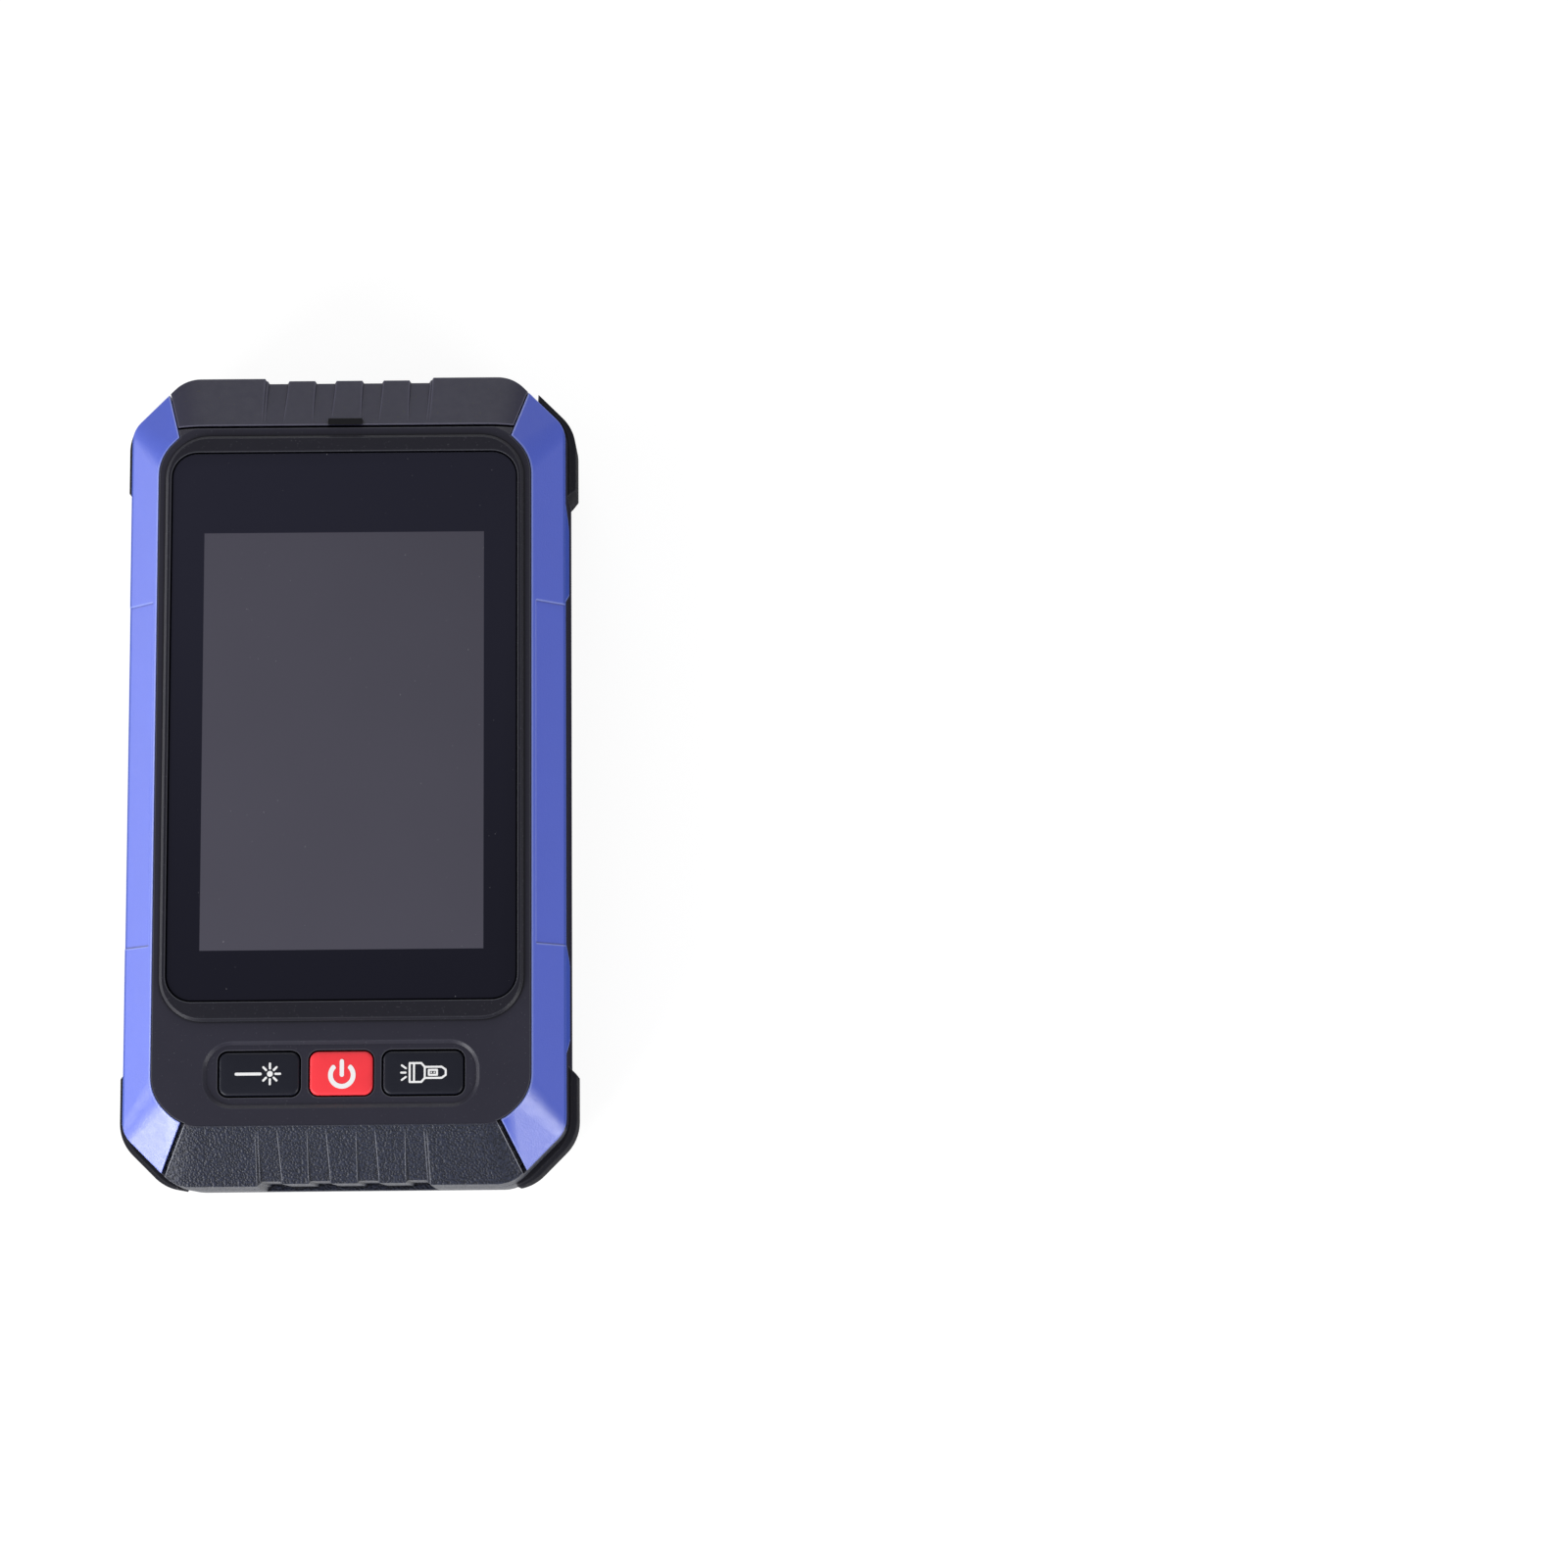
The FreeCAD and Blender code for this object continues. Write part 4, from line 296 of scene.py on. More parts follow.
def housing_finish():
    """Fine grain on the panel, and a coarser leathery grain on the band at the hand end."""
    base, band = colours().housing, colours().band
    finish = Finish("black_moulded_housing", base, 0.4, specular=0.28)
    finish.soften(sizes().shell_edge)
    y = finish.axis("Y")
    on_band = finish.ramp(y, BAND_START * MM, BAND_END * MM)
    cells = finish.cells(0.40 * MM)
    fine = finish.noise(0.24 * MM, 2.0)
    mottle = finish.noise(11 * MM, 3.0)
    panel = finish.shade(mottle, base, 0.12)
    # Painted shade: the raised ring round the glass is darker than the panel.
    ring = finish.math("MULTIPLY", finish.raised(RING_HIGH), 0.6)
    panel = finish.blend(ring, panel, RING_SHADE_TONE)
    leather = finish.shade(finish.ramp(cells, 0.15, 0.75), band, 0.5)
    dust = finish.dust(0.30 * MM, 0.70, 0.76)
    panel = finish.blend(finish.math("MULTIPLY", dust, 0.5), panel, PANEL_SPECK_TONE)
    leather = finish.blend(finish.math("MULTIPLY", dust, 0.5), leather, BAND_SPECK_TONE)
    tone = finish.blend(on_band, panel, leather)
    # Painted shade in the grooves and along the concave edges.
    tone = finish.blend(finish.grooves(), tone, GROOVE_SHADE_TONE)
    # Painted highlights along the convex edges, strongest on the slope of the grained band.
    slope = finish.ramp(finish.axis("Z"), SLOPE_START * MM, SLOPE_END * MM)
    share = finish.math("MULTIPLY_ADD", finish.math("MULTIPLY", on_band, slope), 0.72, 0.18)
    painted_edge_highlight = finish.math("MULTIPLY", finish.edges(0.2 * MM), share)
    finish.paint(finish.blend(painted_edge_highlight, tone, EDGE_HIGHLIGHT_TONE))
    finish.rough(finish.noise(1.5 * MM, 2.0), 0.36, 0.48)
    finish.dull_walls(0.28)
    finish.bump(fine, 0.008 * MM)
    finish.bump(finish.math("MULTIPLY", cells, on_band), 0.14 * MM)
    return finish


def trim_finish():
    """Satin blue-violet plastic, with painted highlights along its convex edges, painted shade along its
    concave edges and darker painted shade on its upright side walls.
    """
    base = colours().trim
    finish = Finish("blue_violet_trim", base, 0.38, specular=1.0)
    finish.soften(sizes().trim_edge)
    mottle = finish.noise(14 * MM, 2.0)
    tone = finish.shade(mottle, base, 0.05)
    # Painted shade along the concave edges.
    tone = finish.blend(finish.math("MULTIPLY", finish.hollows(0.4 * MM), 0.5), tone, [c * 0.3 for c in base])
    # Painted highlights along the convex edges.
    edge = finish.math("MULTIPLY", finish.edges(0.35 * MM), 0.5)
    # Painted shade on the upright side walls.
    tone = finish.blend(finish.dull_walls(1.0), tone, TRIM_WALL_SHADE_TONE)
    finish.paint(finish.blend(edge, tone, TRIM_EDGE_HIGHLIGHT_TONE))
    finish.rough(finish.noise(1.2 * MM, 2.0), 0.30, 0.42)
    finish.bump(finish.noise(0.3 * MM, 2.0), 0.02 * MM)
    return finish


def glass_finish():
    """Black masked border round the window of the display, under one smooth surface."""
    finish = Finish("masked_cover_glass", colours().glass, 0.07, specular=0.12)
    x = finish.math("ABSOLUTE", finish.axis("X"))
    y = finish.axis("Y")
    blur = 0.06 * MM
    inside = finish.ramp(x, WINDOW_HALF_WIDTH * MM + blur, WINDOW_HALF_WIDTH * MM - blur)
    middle, half = WINDOW_MIDDLE_Y * MM, WINDOW_HALF_LENGTH * MM
    reach = finish.math("ABSOLUTE", finish.math("SUBTRACT", y, middle))
    window = finish.math("MULTIPLY", inside, finish.ramp(reach, half + blur, half - blur))
    # Painted light: the masked border is painted lighter towards the port end.
    along = finish.ramp(y, -45 * MM, 60 * MM)
    border = finish.blend(along, colours().glass, [c * 1.7 + 0.002 for c in colours().glass])
    lit = finish.shade(finish.noise(22 * MM, 2.0), colours().display, 0.04)
    tone = finish.blend(window, border, lit)
    dust = finish.dust(0.5 * MM, 0.80, 0.84)
    finish.paint(finish.blend(finish.math("MULTIPLY", dust, 0.5), tone, GLASS_SPECK_TONE))
    finish.rough(finish.noise(30 * MM, 3.0), 0.05, 0.10)
    return finish


def key_finish(name, base):
    finish = Finish(name, base, 0.45, specular=0.35)
    tone = finish.shade(finish.noise(3 * MM, 2.0), base, 0.05)
    # Painted highlights along the key's convex edges.
    edge = finish.math("MULTIPLY", finish.edges(0.3 * MM), 0.25)
    finish.paint(finish.blend(edge, tone, [min(1.0, c * 1.5 + 0.03) for c in base]))
    finish.rough(finish.noise(0.8 * MM, 2.0), 0.40, 0.52)
    finish.bump(finish.noise(0.2 * MM, 2.0), 0.004 * MM)
    return finish


def metal(name, base, roughness, brushed=False):
    """Metal with fine marks, drawn out along X where it is brushed."""
    finish = Finish(name, base, roughness, metallic=1.0)
    finish.soften(0.1 * MM)
    stretch = (0.08, 1, 1) if brushed else (1, 1, 1)
    marks = finish.noise(0.25 * MM, 3.0, 0.6, stretch)
    finish.paint(finish.shade(marks, base, 0.08))
    finish.rough(marks, roughness - 0.07, roughness + 0.1)
    finish.bump(marks, 0.004 * MM)
    return finish


def plain_part(name, base, roughness, grain, depth, spread=0.1):
    """Plastic, rubber or ceramic with its own grain."""
    finish = Finish(name, base, roughness, specular=0.35)
    finish.paint(finish.shade(finish.noise(5 * grain * MM, 3.0), base, spread))
    finish.rough(finish.noise(2 * grain * MM, 2.0), roughness - 0.06, roughness + 0.06)
    finish.bump(finish.noise(grain * MM, 2.0), depth * MM)
    return finish


def board_finish():
    """Green solder mask with paler copper tracks under it."""
    finish = Finish("solder_mask", SOLDER_MASK_TONE, 0.3, specular=0.4)
    tracks = finish.add("ShaderNodeTexBrick", {"Vector": finish.place, "Scale": 160.0, "Mortar Size": 0.04,
                                               "Color1": (0, 0, 0, 1), "Color2": (0, 0, 0, 1),
                                               "Mortar": (1, 1, 1, 1)}).outputs["Color"]
    finish.paint(finish.blend(tracks, SOLDER_MASK_TONE, TRACK_TONE))
    finish.bump(tracks, 0.03 * MM)
    return finish


def lens_finish():
    """Milky lens of the torch."""
    finish = Finish("torch_lens", LENS_TONE, 0.12, specular=0.5)
    finish.set("Transmission Weight", 0.55)
    finish.set("IOR", 1.49)
    finish.paint(finish.shade(finish.noise(0.8 * MM, 2.0), LENS_TONE, 0.04))
    finish.rough(finish.noise(0.6 * MM, 2.0), 0.08, 0.2)
    return finish


def make_finishes():
    """One finish for each material slot of the record, and the finishes of the added pieces."""
    c = colours()
    made = {
        "black_housing": housing_finish(),
        "black_bumper": moulded("soft_bumper", c.bumper, 0.3, 0.010, 0.7, 0.02, 0.05, 0.45),
        "violet_trim": trim_finish(),
        "screen_glass": glass_finish(),
        "black_key": key_finish("black_key_rubber", c.key),
        "red_key": key_finish("red_key_rubber", c.power_key),
        "grey_silicone": plain_part("grey_silicone_rubber", (0.30, 0.30, 0.31), 0.6, 0.4, 0.01),
        "black_foam": plain_part("black_foam_and_plastic", (0.03, 0.03, 0.03), 0.8, 0.3, 0.03),
        "display_grey": plain_part("display_panel", (0.10, 0.10, 0.12), 0.35, 0.5, 0.002),
        "bright_steel": metal("bright_steel", (0.58, 0.58, 0.60), 0.3, brushed=True),
        "nickel_plate": metal("nickel_plate", (0.68, 0.66, 0.62), 0.18),
        "white_ceramic": plain_part("white_ceramic", (0.85, 0.85, 0.82), 0.2, 0.5, 0.002, 0.02),
        "gold_can": metal("gold_plate", (0.80, 0.60, 0.28), 0.25),
        "milled_aluminium": metal("milled_aluminium", (0.66, 0.67, 0.69), 0.35, brushed=True),
        "board_green": board_finish(),
        "ribbon_amber": plain_part("amber_film", (0.50, 0.26, 0.05), 0.35, 0.8, 0.004),
        "white_plastic": plain_part("white_nylon", (0.80, 0.80, 0.78), 0.5, 0.4, 0.01, 0.03),
        "cell_sleeve": plain_part("cell_sleeve", (0.05, 0.20, 0.45), 0.35, 1.0, 0.004),
        "clear_lens": lens_finish(),
        "port_plate": moulded("port_plate", (0.024, 0.024, 0.028), 0.25, 0.010, 0.5, 0.3),
    }
    made["cover"] = cover_finish()
    made["torch_chip"] = plain_part("torch_phosphor", (0.85, 0.62, 0.12), 0.4, 0.2, 0.002)
    made["legend"] = plain_part("printed_legend", c.legend, 0.5, 0.15, 0.002, 0.03)
    return made


# Mesh work

def select_only(piece):
    bpy.ops.object.select_all(action="DESELECT")
    piece.select_set(True)
    bpy.context.view_layer.objects.active = piece


def edit(piece):
    """Opens a piece for editing with nothing selected."""
    select_only(piece)
    bpy.ops.object.mode_set(mode="EDIT")
    bpy.ops.mesh.select_all(action="DESELECT")


def done():
    bpy.ops.object.mode_set(mode="OBJECT")


def pick(piece, kind, test):
    """Selects the faces, edges or vertices that pass a test, and nothing else."""
    bpy.ops.mesh.select_all(action="DESELECT")
    mesh = bmesh.from_edit_mesh(piece.data)
    bpy.context.tool_settings.mesh_select_mode = (kind == "verts", kind == "edges", kind == "faces")
    mesh.select_mode = {{"verts": "VERT", "edges": "EDGE", "faces": "FACE"}[kind]}
    for element in getattr(mesh, kind):
        element.select_set(bool(test(element)))
    mesh.select_flush_mode()
    bmesh.update_edit_mesh(piece.data)


def modify(piece, name, kind, **settings):
    """Adds a modifier and applies it."""
    select_only(piece)
    modifier = piece.modifiers.new(name, kind)
    for key, value in settings.items():
        setattr(modifier, key, value)
    bpy.ops.object.modifier_apply(modifier=name)


def settle(piece):
    """Puts the place, turn and size of a piece into its mesh."""
    select_only(piece)
    bpy.ops.object.transform_apply(location=True, rotation=True, scale=True)


def join(pieces, name):
    bpy.ops.object.select_all(action="DESELECT")
    for piece in pieces:
        piece.select_set(True)
    bpy.context.view_layer.objects.active = pieces[0]
    if len(pieces) > 1:
        bpy.ops.object.join()
    pieces[0].name = name
    return pieces[0]


def dress(piece, name, finish, body, replaced=(), smooth=30):
    """Names a finished piece, gives it its finish and rides it on its body."""
    piece.name = name
    piece.data.name = name
    piece.data.materials.clear()
    piece.data.materials.append(finish.material)
    select_only(piece)
    bpy.ops.object.shade_smooth_by_angle(angle=math.radians(smooth))
    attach(piece, body)
    if replaced:
        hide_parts(*replaced)
    return piece


def softened_copy(node, width, segments=2):
    """Copy of a CAD node with its facets merged and its edges rounded."""
    source = frame["nodes"][node]
    piece = bpy.data.objects.new(node + "_finished", source.data.copy())
    bpy.context.scene.collection.objects.link(piece)
    edit(piece)
    bpy.ops.mesh.select_all(action="SELECT")
    bpy.ops.mesh.remove_doubles(threshold=0.002 * MM)
    bpy.ops.mesh.dissolve_limited(angle_limit=math.radians(0.6))
    done()
    modify(piece, "soft_edges", "BEVEL", width=width, segments=segments, limit_method="ANGLE",
           angle_limit=math.radians(SHARP_ANGLE))
    return piece


def block(x0, x1, y0, y1, z0, z1):
    """Box between its corners, in millimetres."""
    middle = ((x0 + x1) / 2 * MM, (y0 + y1) / 2 * MM, (z0 + z1) / 2 * MM)
    size = ((x1 - x0) * MM, (y1 - y0) * MM, (z1 - z0) * MM)
    bpy.ops.mesh.primitive_cube_add(size=1, location=middle, scale=size)
    piece = bpy.context.object
    settle(piece)
    return piece


class HANDSET_OT_bumpers(bpy.types.Operator):
    """Softens the edges of the corner bumpers"""
    bl_idname = "handset.bumpers"
    bl_label = "Corner bumpers"

    def execute(self, context):
        for end in ("top", "bottom"):
            for side in ("left", "right"):
                node = "bumper_" + end + "_" + side
                piece = softened_copy(node, sizes().bumper_edge, 3)
                dress(piece, node + "_finished", FINISHES["black_bumper"], HOUSING, (node,))
        return {"FINISHED"}


class HANDSET_OT_screen(bpy.types.Operator):
    """Polishes the edge of the cover glass and masks its border"""
    bl_idname = "handset.screen"
    bl_label = "Screen"

    def execute(self, context):
        piece = softened_copy("screen_glass", sizes().glass_edge)
        dress(piece, "screen_glass_finished", FINISHES["screen_glass"], HOUSING,
              ("screen_glass",))
        return {"FINISHED"}


def key_piece(node):
    """Key with round corners, a soft edge and a slightly crowned top, on its hidden flange."""
    low, high = (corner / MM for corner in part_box(node))
    flange_width, flange_thickness = 0.7, 0.8
    flange_top = low.z + flange_thickness
    piece = block(low.x, high.x, low.y, high.y, low.z, flange_top)
    edit(piece)
    pick(piece, "faces", lambda f: f.normal.z > 0.9)
    bpy.ops.mesh.inset(thickness=flange_width * MM)
    bpy.ops.mesh.extrude_region_move(TRANSFORM_OT_translate={"value": (0, 0, (high.z - flange_top) * MM)})
    top = high.z * MM

    def upright(e):
        a, b = (v.co for v in e.verts)
        return abs(a.z - b.z) > 1 * MM and max(a.z, b.z) > top - 0.01 * MM
    pick(piece, "edges", upright)
    bpy.ops.mesh.bevel(offset=sizes().key_corner, segments=8, affect="EDGES")
    pick(piece, "edges", lambda e: all(v.co.z > top - 0.001 * MM for v in e.verts))
    bpy.ops.mesh.bevel(offset=sizes().key_edge, segments=5, affect="EDGES")
    middle = (low + high) / 2 * MM
    for scale, share in CROWN_STEPS:
        pick(piece, "faces", lambda f: len(f.verts) > 8 and f.normal.z > 0.99)
        bpy.ops.mesh.extrude_region_move(TRANSFORM_OT_translate={"value": (0, 0, sizes().key_crown * share)})
        bpy.ops.transform.resize(value=(scale, scale, 1), center_override=middle)
    done()
    return piece


class HANDSET_OT_keys(bpy.types.Operator):
    """Models the three crowned keys"""
    bl_idname = "handset.keys"
    bl_label = "Keys"

    def execute(self, context):
        for node in KEYS:
            slot = SLOTS[node]
            dress(key_piece(node), node + "_cap", FINISHES[slot], node + "_body", (node,), 40)
        return {"FINISHED"}


# Legends, each drawn about the middle of its key, in millimetres

STROKE_ROUNDING = 0.48   # share of a stroke's width that rounds each end


def bar(x0, y0, x1, y1, width):
    """Straight stroke with round ends, one millimetre high."""
    reach = math.hypot(x1 - x0, y1 - y0) + width
    piece = block(-reach / 2, reach / 2, -width / 2, width / 2, 0, 1)
    edit(piece)
    pick(piece, "edges", lambda e: abs(e.verts[0].co.z - e.verts[1].co.z) > 0.5 * MM)
    bpy.ops.mesh.bevel(offset=width * STROKE_ROUNDING * MM, segments=4, affect="EDGES")
    done()
    turn = Matrix.Rotation(math.atan2(y1 - y0, x1 - x0), 4, "Z")
    piece.data.transform(Matrix.Translation(((x0 + x1) / 2 * MM, (y0 + y1) / 2 * MM, 0)) @ turn)
    return piece


def disc(x, y, radius):
    bpy.ops.mesh.primitive_cylinder_add(vertices=24, radius=radius * MM, depth=1 * MM,
                                        location=(x * MM, y * MM, 0.5 * MM))
    piece = bpy.context.object
    settle(piece)
    return piece


def power_symbol():
    """Open ring with a bar through its gap."""
    radius, width, opening = 1.95, 0.82, math.radians(74)
    bpy.ops.mesh.primitive_plane_add(size=1, rotation=(math.pi / 2, 0, 0))
    ring = bpy.context.object
    settle(ring)
    ring.data.transform(Matrix.Diagonal((width * MM, 1, MM, 1)))
    ring.data.transform(Matrix.Translation((radius * MM, 0, 0.5 * MM)))
    ring.data.transform(Matrix.Rotation(math.pi / 2 + opening / 2, 4, "Z"))
    edit(ring)
    bpy.ops.mesh.select_all(action="SELECT")
    bpy.ops.mesh.spin(steps=40, angle=2 * math.pi - opening, center=(0, 0, 0), axis=(0, 0, -1))
    bpy.ops.mesh.select_all(action="SELECT")
    bpy.ops.mesh.normals_make_consistent(inside=False)
    caps = 0.7 * width * MM * MM

    def end_corner(e):
        upright = abs(e.verts[0].co.z - e.verts[1].co.z) > 0.5 * MM
        return upright and any(abs(f.normal.z) < 0.5 and f.calc_area() > caps for f in e.link_faces)
    pick(ring, "edges", end_corner)
    bpy.ops.mesh.bevel(offset=width * STROKE_ROUNDING * MM, segments=4, affect="EDGES")
    done()
    return [ring, bar(0, 0.05, 0, 2.35, 0.74)], (0.15, -0.3)


def torch_symbol():
    """Outlined torch that points to the left, with three rays."""
    line = 0.34
    strokes = [(-3.75, 0, -3.0, 0), (-3.65, 1.25, -2.95, 0.75), (-3.65, -1.25, -2.95, -0.75)]
    for s in (-1, 1):
        strokes += [(-2.3, s * 1.62, -0.3, s * 1.62), (-0.3, s * 1.62, 0.3, s * 0.95),
                    (0.3, s * 0.95, 3.2, s * 0.95), (3.2, s * 0.95, 3.9, s * 0.45),
                    (1.0, s * 0.42, 2.4, s * 0.42)]
    strokes += [(-2.3, -1.62, -2.3, 1.62), (-1.55, -1.62, -1.55, 1.62), (0.3, -0.95, 0.3, 0.95),
                (3.9, -0.45, 3.9, 0.45), (1.0, -0.42, 1.0, 0.42), (2.4, -0.42, 2.4, 0.42)]
    pieces = [bar(*stroke, line) for stroke in strokes]
    pieces += [disc(x, 0, 0.13) for x in (1.45, 1.95)]
    return pieces, (0.0, 0.0)


def light_point_symbol():
    """Beam that ends in a bright point, with a ray on every side but that of the beam."""
    x, sides, ray_start, long_ray, short_ray, line = 1.9, 8, 0.95, 1.75, 1.6, 0.38
    pieces = [bar(-3.9, 0, 0.25, 0, 0.5), disc(x, 0, 0.5)]
    for i in range(sides):
        if i == sides // 2:
            continue
        angle = 2 * math.pi / sides * i
        reach = long_ray if i % 2 == 0 else short_ray
        pieces.append(bar(x + ray_start * math.cos(angle), ray_start * math.sin(angle),
                          x + reach * math.cos(angle), reach * math.sin(angle), line))
    return pieces, (0.0, 0.0)


class HANDSET_OT_legends(bpy.types.Operator):
    """Prints a generic pictogram on each key"""
    bl_idname = "handset.legends"
    bl_label = "Key legends"

    def execute(self, context):
        drawings = {"fault_locator_key": light_point_symbol, "power_key": power_symbol,
                    "torch_key": torch_symbol}
        for node, draw in drawings.items():
            pieces, (dx, dy) = draw()
            stagger, sunk = 0.01, 0.02 * MM
            for step, piece in enumerate(pieces):
                piece.data.transform(Matrix.Diagonal((1, 1, 1 + stagger * step, 1)))
            legend = join(pieces, node + "_legend")
            low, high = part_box(node)
            height = sizes().key_crown + sizes().legend_height + sunk
            legend.data.transform(Matrix.Diagonal((1, 1, height / MM, 1)))
            middle = (low + high) / 2
            legend.data.transform(Matrix.Translation((middle.x + dx * MM, middle.y + dy * MM, high.z - sunk)))
            dress(legend, node + "_legend", FINISHES["legend"], node + "_body")
        return {"FINISHED"}


# Fasteners and ports

def lathe(profile, axis, place, name, segments):
    """Turned piece from (distance along the axis, radius) points in millimetres, closed on its axis."""
    bpy.ops.mesh.primitive_plane_add(size=MM)
    piece = bpy.context.object
    piece.name = name
    edit(piece)
    pick(piece, "verts", lambda v: True)
    bpy.ops.mesh.merge(type="CENTER")
    points = [Vector((radius, 0, along)) * MM for along, radius in profile]
    bpy.ops.transform.translate(value=points[0])
    for start, end in zip(points, points[1:]):
        bpy.ops.mesh.extrude_vertices_move(TRANSFORM_OT_translate={"value": end - start})
    bpy.ops.mesh.select_all(action="SELECT")
    bpy.ops.mesh.spin(steps=segments, angle=2 * math.pi, center=(0, 0, 0), axis=(0, 0, 1))
    bpy.ops.mesh.select_all(action="SELECT")
    bpy.ops.mesh.remove_doubles(threshold=0.001 * MM)
    bpy.ops.mesh.normals_make_consistent(inside=False)
    done()
    turn = Vector((0, 0, 1)).rotation_difference(Vector(axis)).to_matrix().to_4x4()
    piece.data.transform(Matrix.Translation(place) @ turn)
    return piece


def plug(start, end, radius):
    """Profile of a plain round plug."""
    return [(start, 0), (start, radius), (end, radius), (end, 0)]


def carve(piece, cutter):
    """Cuts the cutter out of the piece and removes the cutter."""
    modify(piece, "carve", "BOOLEAN", operation="DIFFERENCE", object=cutter, solver="EXACT")
    bpy.data.objects.remove(cutter)


class HANDSET_OT_screws(bpy.types.Operator):
    """Turns the four case screws, with a cross recess in each round head"""
    bl_idname = "handset.screws"
    bl_label = "Case screws"

    def execute(self, context):
        low, high = (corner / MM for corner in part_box("case_screws"))
        head, shank, head_height = 2.3, 1.25, 1.6
        bearing, shoulder, shoulder_rise, rim_rise = head - 0.7, head - 0.35, 0.12, 0.4
        pitch, root, root_rise, crest_rise, tip = 0.8, 0.22, 0.2, 0.6, 0.3
        slot_long, slot_short, slot_depth, overcut = 1.35, 0.24, 0.75, 1
        screws = []
        for x in (low.x + head, high.x - head):
            for y in (low.y + head, high.y - head):
                profile = [(0, 0), (0, bearing), (shoulder_rise, shoulder), (rim_rise, head),
                           (head_height, head), (head_height, shank)]
                turns = int((high.z - low.z - head_height) / pitch)
                for k in range(turns):
                    start = head_height + pitch * k
                    profile += [(start + root_rise, shank - root), (start + crest_rise, shank)]
                profile += [(high.z - low.z, shank - tip), (high.z - low.z, 0)]
                screw = lathe(profile, (0, 0, 1), Vector((x, y, low.z)) * MM, "screw", 32)
                for w, d in ((slot_long, slot_short), (slot_short, slot_long)):
                    carve(screw, block(x - w, x + w, y - d, y + d, low.z - overcut, low.z + slot_depth))
                screws.append(screw)
        dress(join(screws, "case_screws_turned"), "case_screws_turned", FINISHES["bright_steel"],
              HOUSING, ("case_screws",))
        return {"FINISHED"}


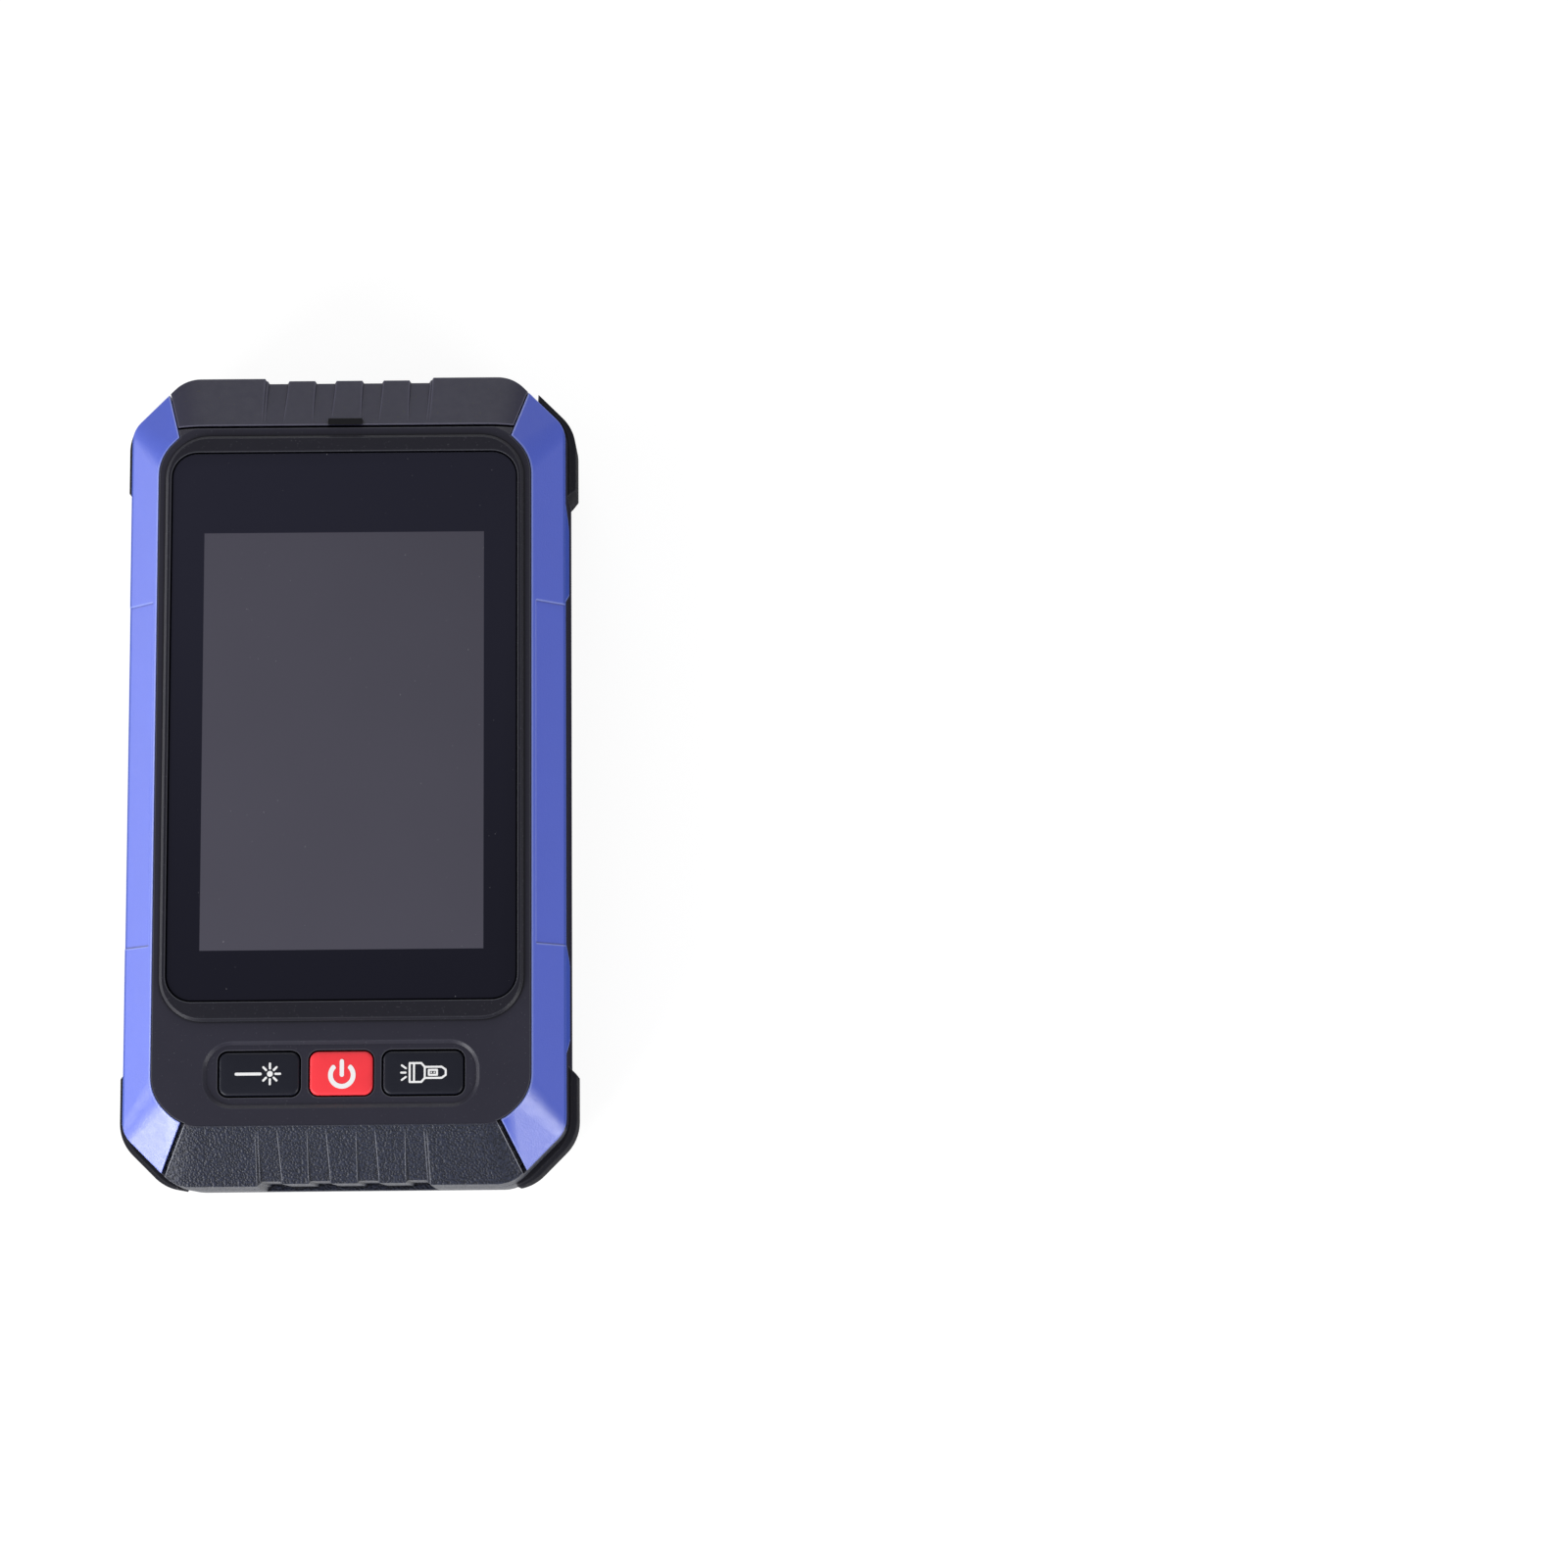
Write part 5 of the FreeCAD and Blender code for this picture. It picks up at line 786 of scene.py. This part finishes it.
class HANDSET_OT_ports(bpy.types.Operator):
    """Threads the test port, domes the torch lens and adds the contacts of the charging socket"""
    bl_idname = "handset.ports"
    bl_label = "Ports"

    def execute(self, context):
        self.test_port()
        self.torch()
        self.contacts()
        return {"FINISHED"}

    def test_port(self):
        low, high = (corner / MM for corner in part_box("otdr_adapter"))
        middle = (low + high) / 2
        half = (high.x - low.x) / 2
        barrel, wall, bore, sleeve = 4.0, 0.8, 1.6, 2.2
        plate, flange_thickness, neck, runout, nose = 3.2, 1.4, 1.6, 0.1, 0.5
        crest_drop, root_drop, root_start, root_end = 0.02, 0.28, 0.35, 0.65
        chamfer_length, chamfer_start, chamfer_drop, sleeve_inset = 0.25, 0.05, 0.3, 1.0
        key_half_width, key_start, key_low, key_high, overcut = 1.1, 1.5, 2.4, 5, 1
        core, core_length, hole_inset, hole, hole_depth = 3.2, 10, 1.5, 0.75, 0.5
        front = high.y - low.y
        well = plate + flange_thickness
        pitch = sizes().thread_pitch / MM
        profile = [(0, bore), (0, barrel), (plate + neck, barrel)]
        turns = int((front - plate - neck - runout - nose) / pitch)
        for k in range(turns):
            start = plate + neck + runout + pitch * k
            profile += [(start, barrel - crest_drop), (start + root_start * pitch, barrel - root_drop),
                        (start + root_end * pitch, barrel - root_drop), (start + pitch, barrel - crest_drop)]
        profile += [(front - chamfer_length, barrel - chamfer_start), (front, barrel - chamfer_drop),
                    (front, barrel - wall), (well, barrel - wall), (well, sleeve),
                    (front - sleeve_inset, sleeve), (front - sleeve_inset, bore), (0, bore)]
        body = lathe(profile, (0, 1, 0), Vector((middle.x, low.y, middle.z)) * MM, "barrel", 64)
        carve(body, block(middle.x - key_half_width, middle.x + key_half_width, low.y + well + key_start,
                          high.y + overcut, middle.z + key_low, middle.z + key_high))
        flange = block(middle.x - half, middle.x + half, low.y + plate, low.y + well, low.z, high.z)
        modify(flange, "soft_edges", "BEVEL", width=FLANGE_EDGE * MM, segments=3)
        carve(flange, lathe(plug(-overcut, core_length, core), (0, 1, 0),
                            Vector((middle.x, low.y, middle.z)) * MM, "core", 48))
        for dx in (-1, 1):
            for dz in (-1, 1):
                place = Vector((middle.x + dx * (half - hole_inset), low.y + well,
                                middle.z + dz * (half - hole_inset)))
                carve(flange, lathe(plug(-hole_depth, hole_depth, hole), (0, 1, 0), place * MM, "dimple", 24))
        adapter = join([body, flange], "otdr_adapter_threaded")
        dress(adapter, "otdr_adapter_threaded", FINISHES["nickel_plate"], HOUSING,
              ("otdr_adapter",))

    def torch(self):
        low, high = (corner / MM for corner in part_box("torch_led"))
        middle = (low + high) / 2
        depth = high.y - low.y
        foot, foot_length, lens_radius, dome, dome_steps = 2.9, 1, 2.5, 1.3, 8
        profile = [(0, 0), (0, foot), (foot_length, foot), (foot_length, lens_radius),
                   (depth - dome, lens_radius)]
        for k in range(1, dome_steps + 1):
            angle = math.pi / 2 * k / dome_steps
            profile.append((depth - dome + dome * math.sin(angle), lens_radius * math.cos(angle)))
        lens = lathe(profile, (0, 1, 0), Vector((middle.x, low.y, middle.z)) * MM, "torch_lens_domed", 48)
        dress(lens, "torch_lens_domed", FINISHES["clear_lens"], HOUSING, ("torch_led",), 50)
        half, back, front = 0.9, high.y - 1.9, high.y - 1.6
        chip = block(middle.x - half, middle.x + half, back, front, middle.z - half, middle.z + half)
        dress(chip, "torch_chip", FINISHES["torch_chip"], HOUSING)

    def contacts(self):
        low, high = (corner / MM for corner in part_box("charging_socket"))
        middle = (low + high) / 2
        half, count, spacing = 0.35, 12, 0.5
        pad_width, pad_height = 0.13, 0.03
        back, front = high.y - 3.6, high.y - 1.25
        pads = []
        for side in (-1, 1):
            z = middle.z + side * half
            for k in range(count):
                x = middle.x + (k - (count - 1) / 2) * spacing
                pads.append(block(x - pad_width, x + pad_width, back, front, z - pad_height, z + pad_height))
        dress(join(pads, "socket_contacts"), "socket_contacts", FINISHES["gold_can"], HOUSING)


class HANDSET_OT_finishes(bpy.types.Operator):
    """Gives every node that stays its own finish"""
    bl_idname = "handset.finishes"
    bl_label = "Other finishes"

    def execute(self, context):
        for node, piece in frame["nodes"].items():
            piece.data.materials.clear()
            finish = FINISHES["cover" if node == "port_cover" else SLOTS[node]]
            piece.data.materials.append(finish.material)
        return {"FINISHED"}


# Stage

SENSOR_WIDTH, LENS = 36.0, 83.25
CAMERA_PLACE = (0.06981, -0.09109, 0.65323)
CAMERA_TURNS = ((-0.6312, "Y"), (8.0266, "X"), (-0.5830, "Z"))
FLOOR_SIZE, FLOOR_DROP = 8.0, 0.05 * MM
FLOOR_TONE, FLOOR_ROUGHNESS, FLOOR_SPECULAR = 0.86, 0.7, 0.1
FLOOR_GLOW, FLOOR_GLOW_SHARE = 1.2, 0.72
WORLD_LIGHT, WORLD_BACKGROUND = 0.35, 1.0
LIGHT_REACH, LIGHT_HEIGHT, LIGHT_AIM = 0.8, 0.3, Vector((0, 0, 0.01))
LIGHTS = (
    ("left_light", 180, 8, 0.6, 2.75),
    ("port_end_light", 90, 24, 0.6, 1.6),
    ("hand_left_light", -133, 22, 0.4, 5.2),
    ("hand_right_light", -37, 20, 0.3, 2.6),
)


def area_light(name, turn, rise, width, power):
    """Soft light on the handset, turned from +X and risen from the floor, in degrees."""
    light = bpy.data.lights.new(name, "AREA")
    light.shape = "RECTANGLE"
    light.size = width
    light.size_y = LIGHT_HEIGHT
    light.energy = power
    lamp = bpy.data.objects.new(name, light)
    bpy.context.scene.collection.objects.link(lamp)
    turn, rise = math.radians(turn), math.radians(rise)
    away = Vector((math.cos(rise) * math.cos(turn), math.cos(rise) * math.sin(turn), math.sin(rise)))
    lamp.location = LIGHT_AIM + LIGHT_REACH * away
    lamp.rotation_euler = away.to_track_quat("Z", "Y").to_euler()


def background_rays(tree, *rays):
    """1 for the rays that see the background itself."""
    path = tree.nodes.new("ShaderNodeLightPath")
    total = path.outputs["Is Camera Ray"]
    for ray in rays:
        node = tree.nodes.new("ShaderNodeMath")
        node.operation = "MAXIMUM"
        tree.links.new(total, node.inputs[0])
        tree.links.new(path.outputs[ray], node.inputs[1])
        total = node.outputs[0]
    return total


class HANDSET_OT_stage(bpy.types.Operator):
    """Sets the camera, the pale floor and the soft light"""
    bl_idname = "handset.stage"
    bl_label = "Stage"

    def execute(self, context):
        scene = context.scene
        scene.view_settings.view_transform = "Standard"
        camera = bpy.data.cameras.new("camera")
        camera.sensor_width = SENSOR_WIDTH
        camera.lens = LENS
        holder = bpy.data.objects.new("camera", camera)
        scene.collection.objects.link(holder)
        place = Matrix.Translation(CAMERA_PLACE)
        for angle, axis in CAMERA_TURNS:
            place = place @ Matrix.Rotation(math.radians(angle), 4, axis)
        holder.matrix_world = place
        scene.camera = holder

        bpy.ops.mesh.primitive_plane_add(size=FLOOR_SIZE, location=(0, 0, -FLOOR_DROP))
        floor = context.object
        floor.name = "floor"
        material = bpy.data.materials.new("pale_floor")
        material.use_nodes = True
        tree = material.node_tree
        shader = tree.nodes["Principled BSDF"]
        shader.inputs["Base Color"].default_value = (FLOOR_TONE, FLOOR_TONE, FLOOR_TONE, 1)
        shader.inputs["Roughness"].default_value = FLOOR_ROUGHNESS
        shader.inputs["Specular IOR Level"].default_value = FLOOR_SPECULAR
        glow = tree.nodes.new("ShaderNodeEmission")
        glow.inputs["Strength"].default_value = FLOOR_GLOW
        mix = tree.nodes.new("ShaderNodeMixShader")
        share = tree.nodes.new("ShaderNodeMath")
        share.operation = "MULTIPLY"
        share.inputs[1].default_value = FLOOR_GLOW_SHARE
        tree.links.new(background_rays(tree, "Is Glossy Ray", "Is Transmission Ray"), share.inputs[0])
        tree.links.new(share.outputs[0], mix.inputs[0])
        tree.links.new(shader.outputs[0], mix.inputs[1])
        tree.links.new(glow.outputs[0], mix.inputs[2])
        side = tree.nodes.new("ShaderNodeNewGeometry")
        clear = tree.nodes.new("ShaderNodeBsdfTransparent")
        seen = tree.nodes.new("ShaderNodeMixShader")
        tree.links.new(side.outputs["Backfacing"], seen.inputs[0])
        tree.links.new(mix.outputs[0], seen.inputs[1])
        tree.links.new(clear.outputs[0], seen.inputs[2])
        tree.links.new(seen.outputs[0], tree.nodes["Material Output"].inputs["Surface"])
        floor.data.materials.append(material)

        world = bpy.data.worlds.new("studio")
        scene.world = world
        world.use_nodes = True
        tree = world.node_tree
        back = tree.nodes["Background"]
        back.inputs["Color"].default_value = (1, 1, 1, 1)
        strength = tree.nodes.new("ShaderNodeMapRange")
        strength.inputs["To Min"].default_value = WORLD_LIGHT
        strength.inputs["To Max"].default_value = WORLD_BACKGROUND
        tree.links.new(background_rays(tree, "Is Transmission Ray"), strength.inputs["Value"])
        tree.links.new(strength.outputs[0], back.inputs["Strength"])

        for light in LIGHTS:
            area_light(*light)
        return {"FINISHED"}


class HANDSET_PT_panel(bpy.types.Panel):
    """Lists the steps and the values that a user may change"""
    bl_label = "Fibre tester"
    bl_idname = "HANDSET_PT_panel"
    bl_space_type = "VIEW_3D"
    bl_region_type = "UI"
    bl_category = "Fibre tester"

    def draw(self, context):
        for step in STEPS:
            self.layout.operator(step.bl_idname)
        for group in (context.scene.handset_sizes, context.scene.handset_colours):
            column = self.layout.column()
            for name in group.__annotations__:
                column.prop(group, name)


FINISHES = {}
STEPS = (HANDSET_OT_stage, HANDSET_OT_finishes, HANDSET_OT_bumpers, HANDSET_OT_screen, HANDSET_OT_keys,
         HANDSET_OT_legends, HANDSET_OT_screws, HANDSET_OT_ports)
CLASSES = (HandsetSizes, HandsetColours, *STEPS, HANDSET_PT_panel)


def register():
    for cls in CLASSES:
        bpy.utils.register_class(cls)
    bpy.types.Scene.handset_sizes = bpy.props.PointerProperty(type=HandsetSizes)
    bpy.types.Scene.handset_colours = bpy.props.PointerProperty(type=HandsetColours)


def unregister():
    del bpy.types.Scene.handset_colours
    del bpy.types.Scene.handset_sizes
    for cls in reversed(CLASSES):
        bpy.utils.unregister_class(cls)


def main():
    register()
    FINISHES.update(make_finishes())
    for step in STEPS:
        family, name = step.bl_idname.split(".")
        getattr(getattr(bpy.ops, family), name)()


if __name__ == "__main__":
    main()
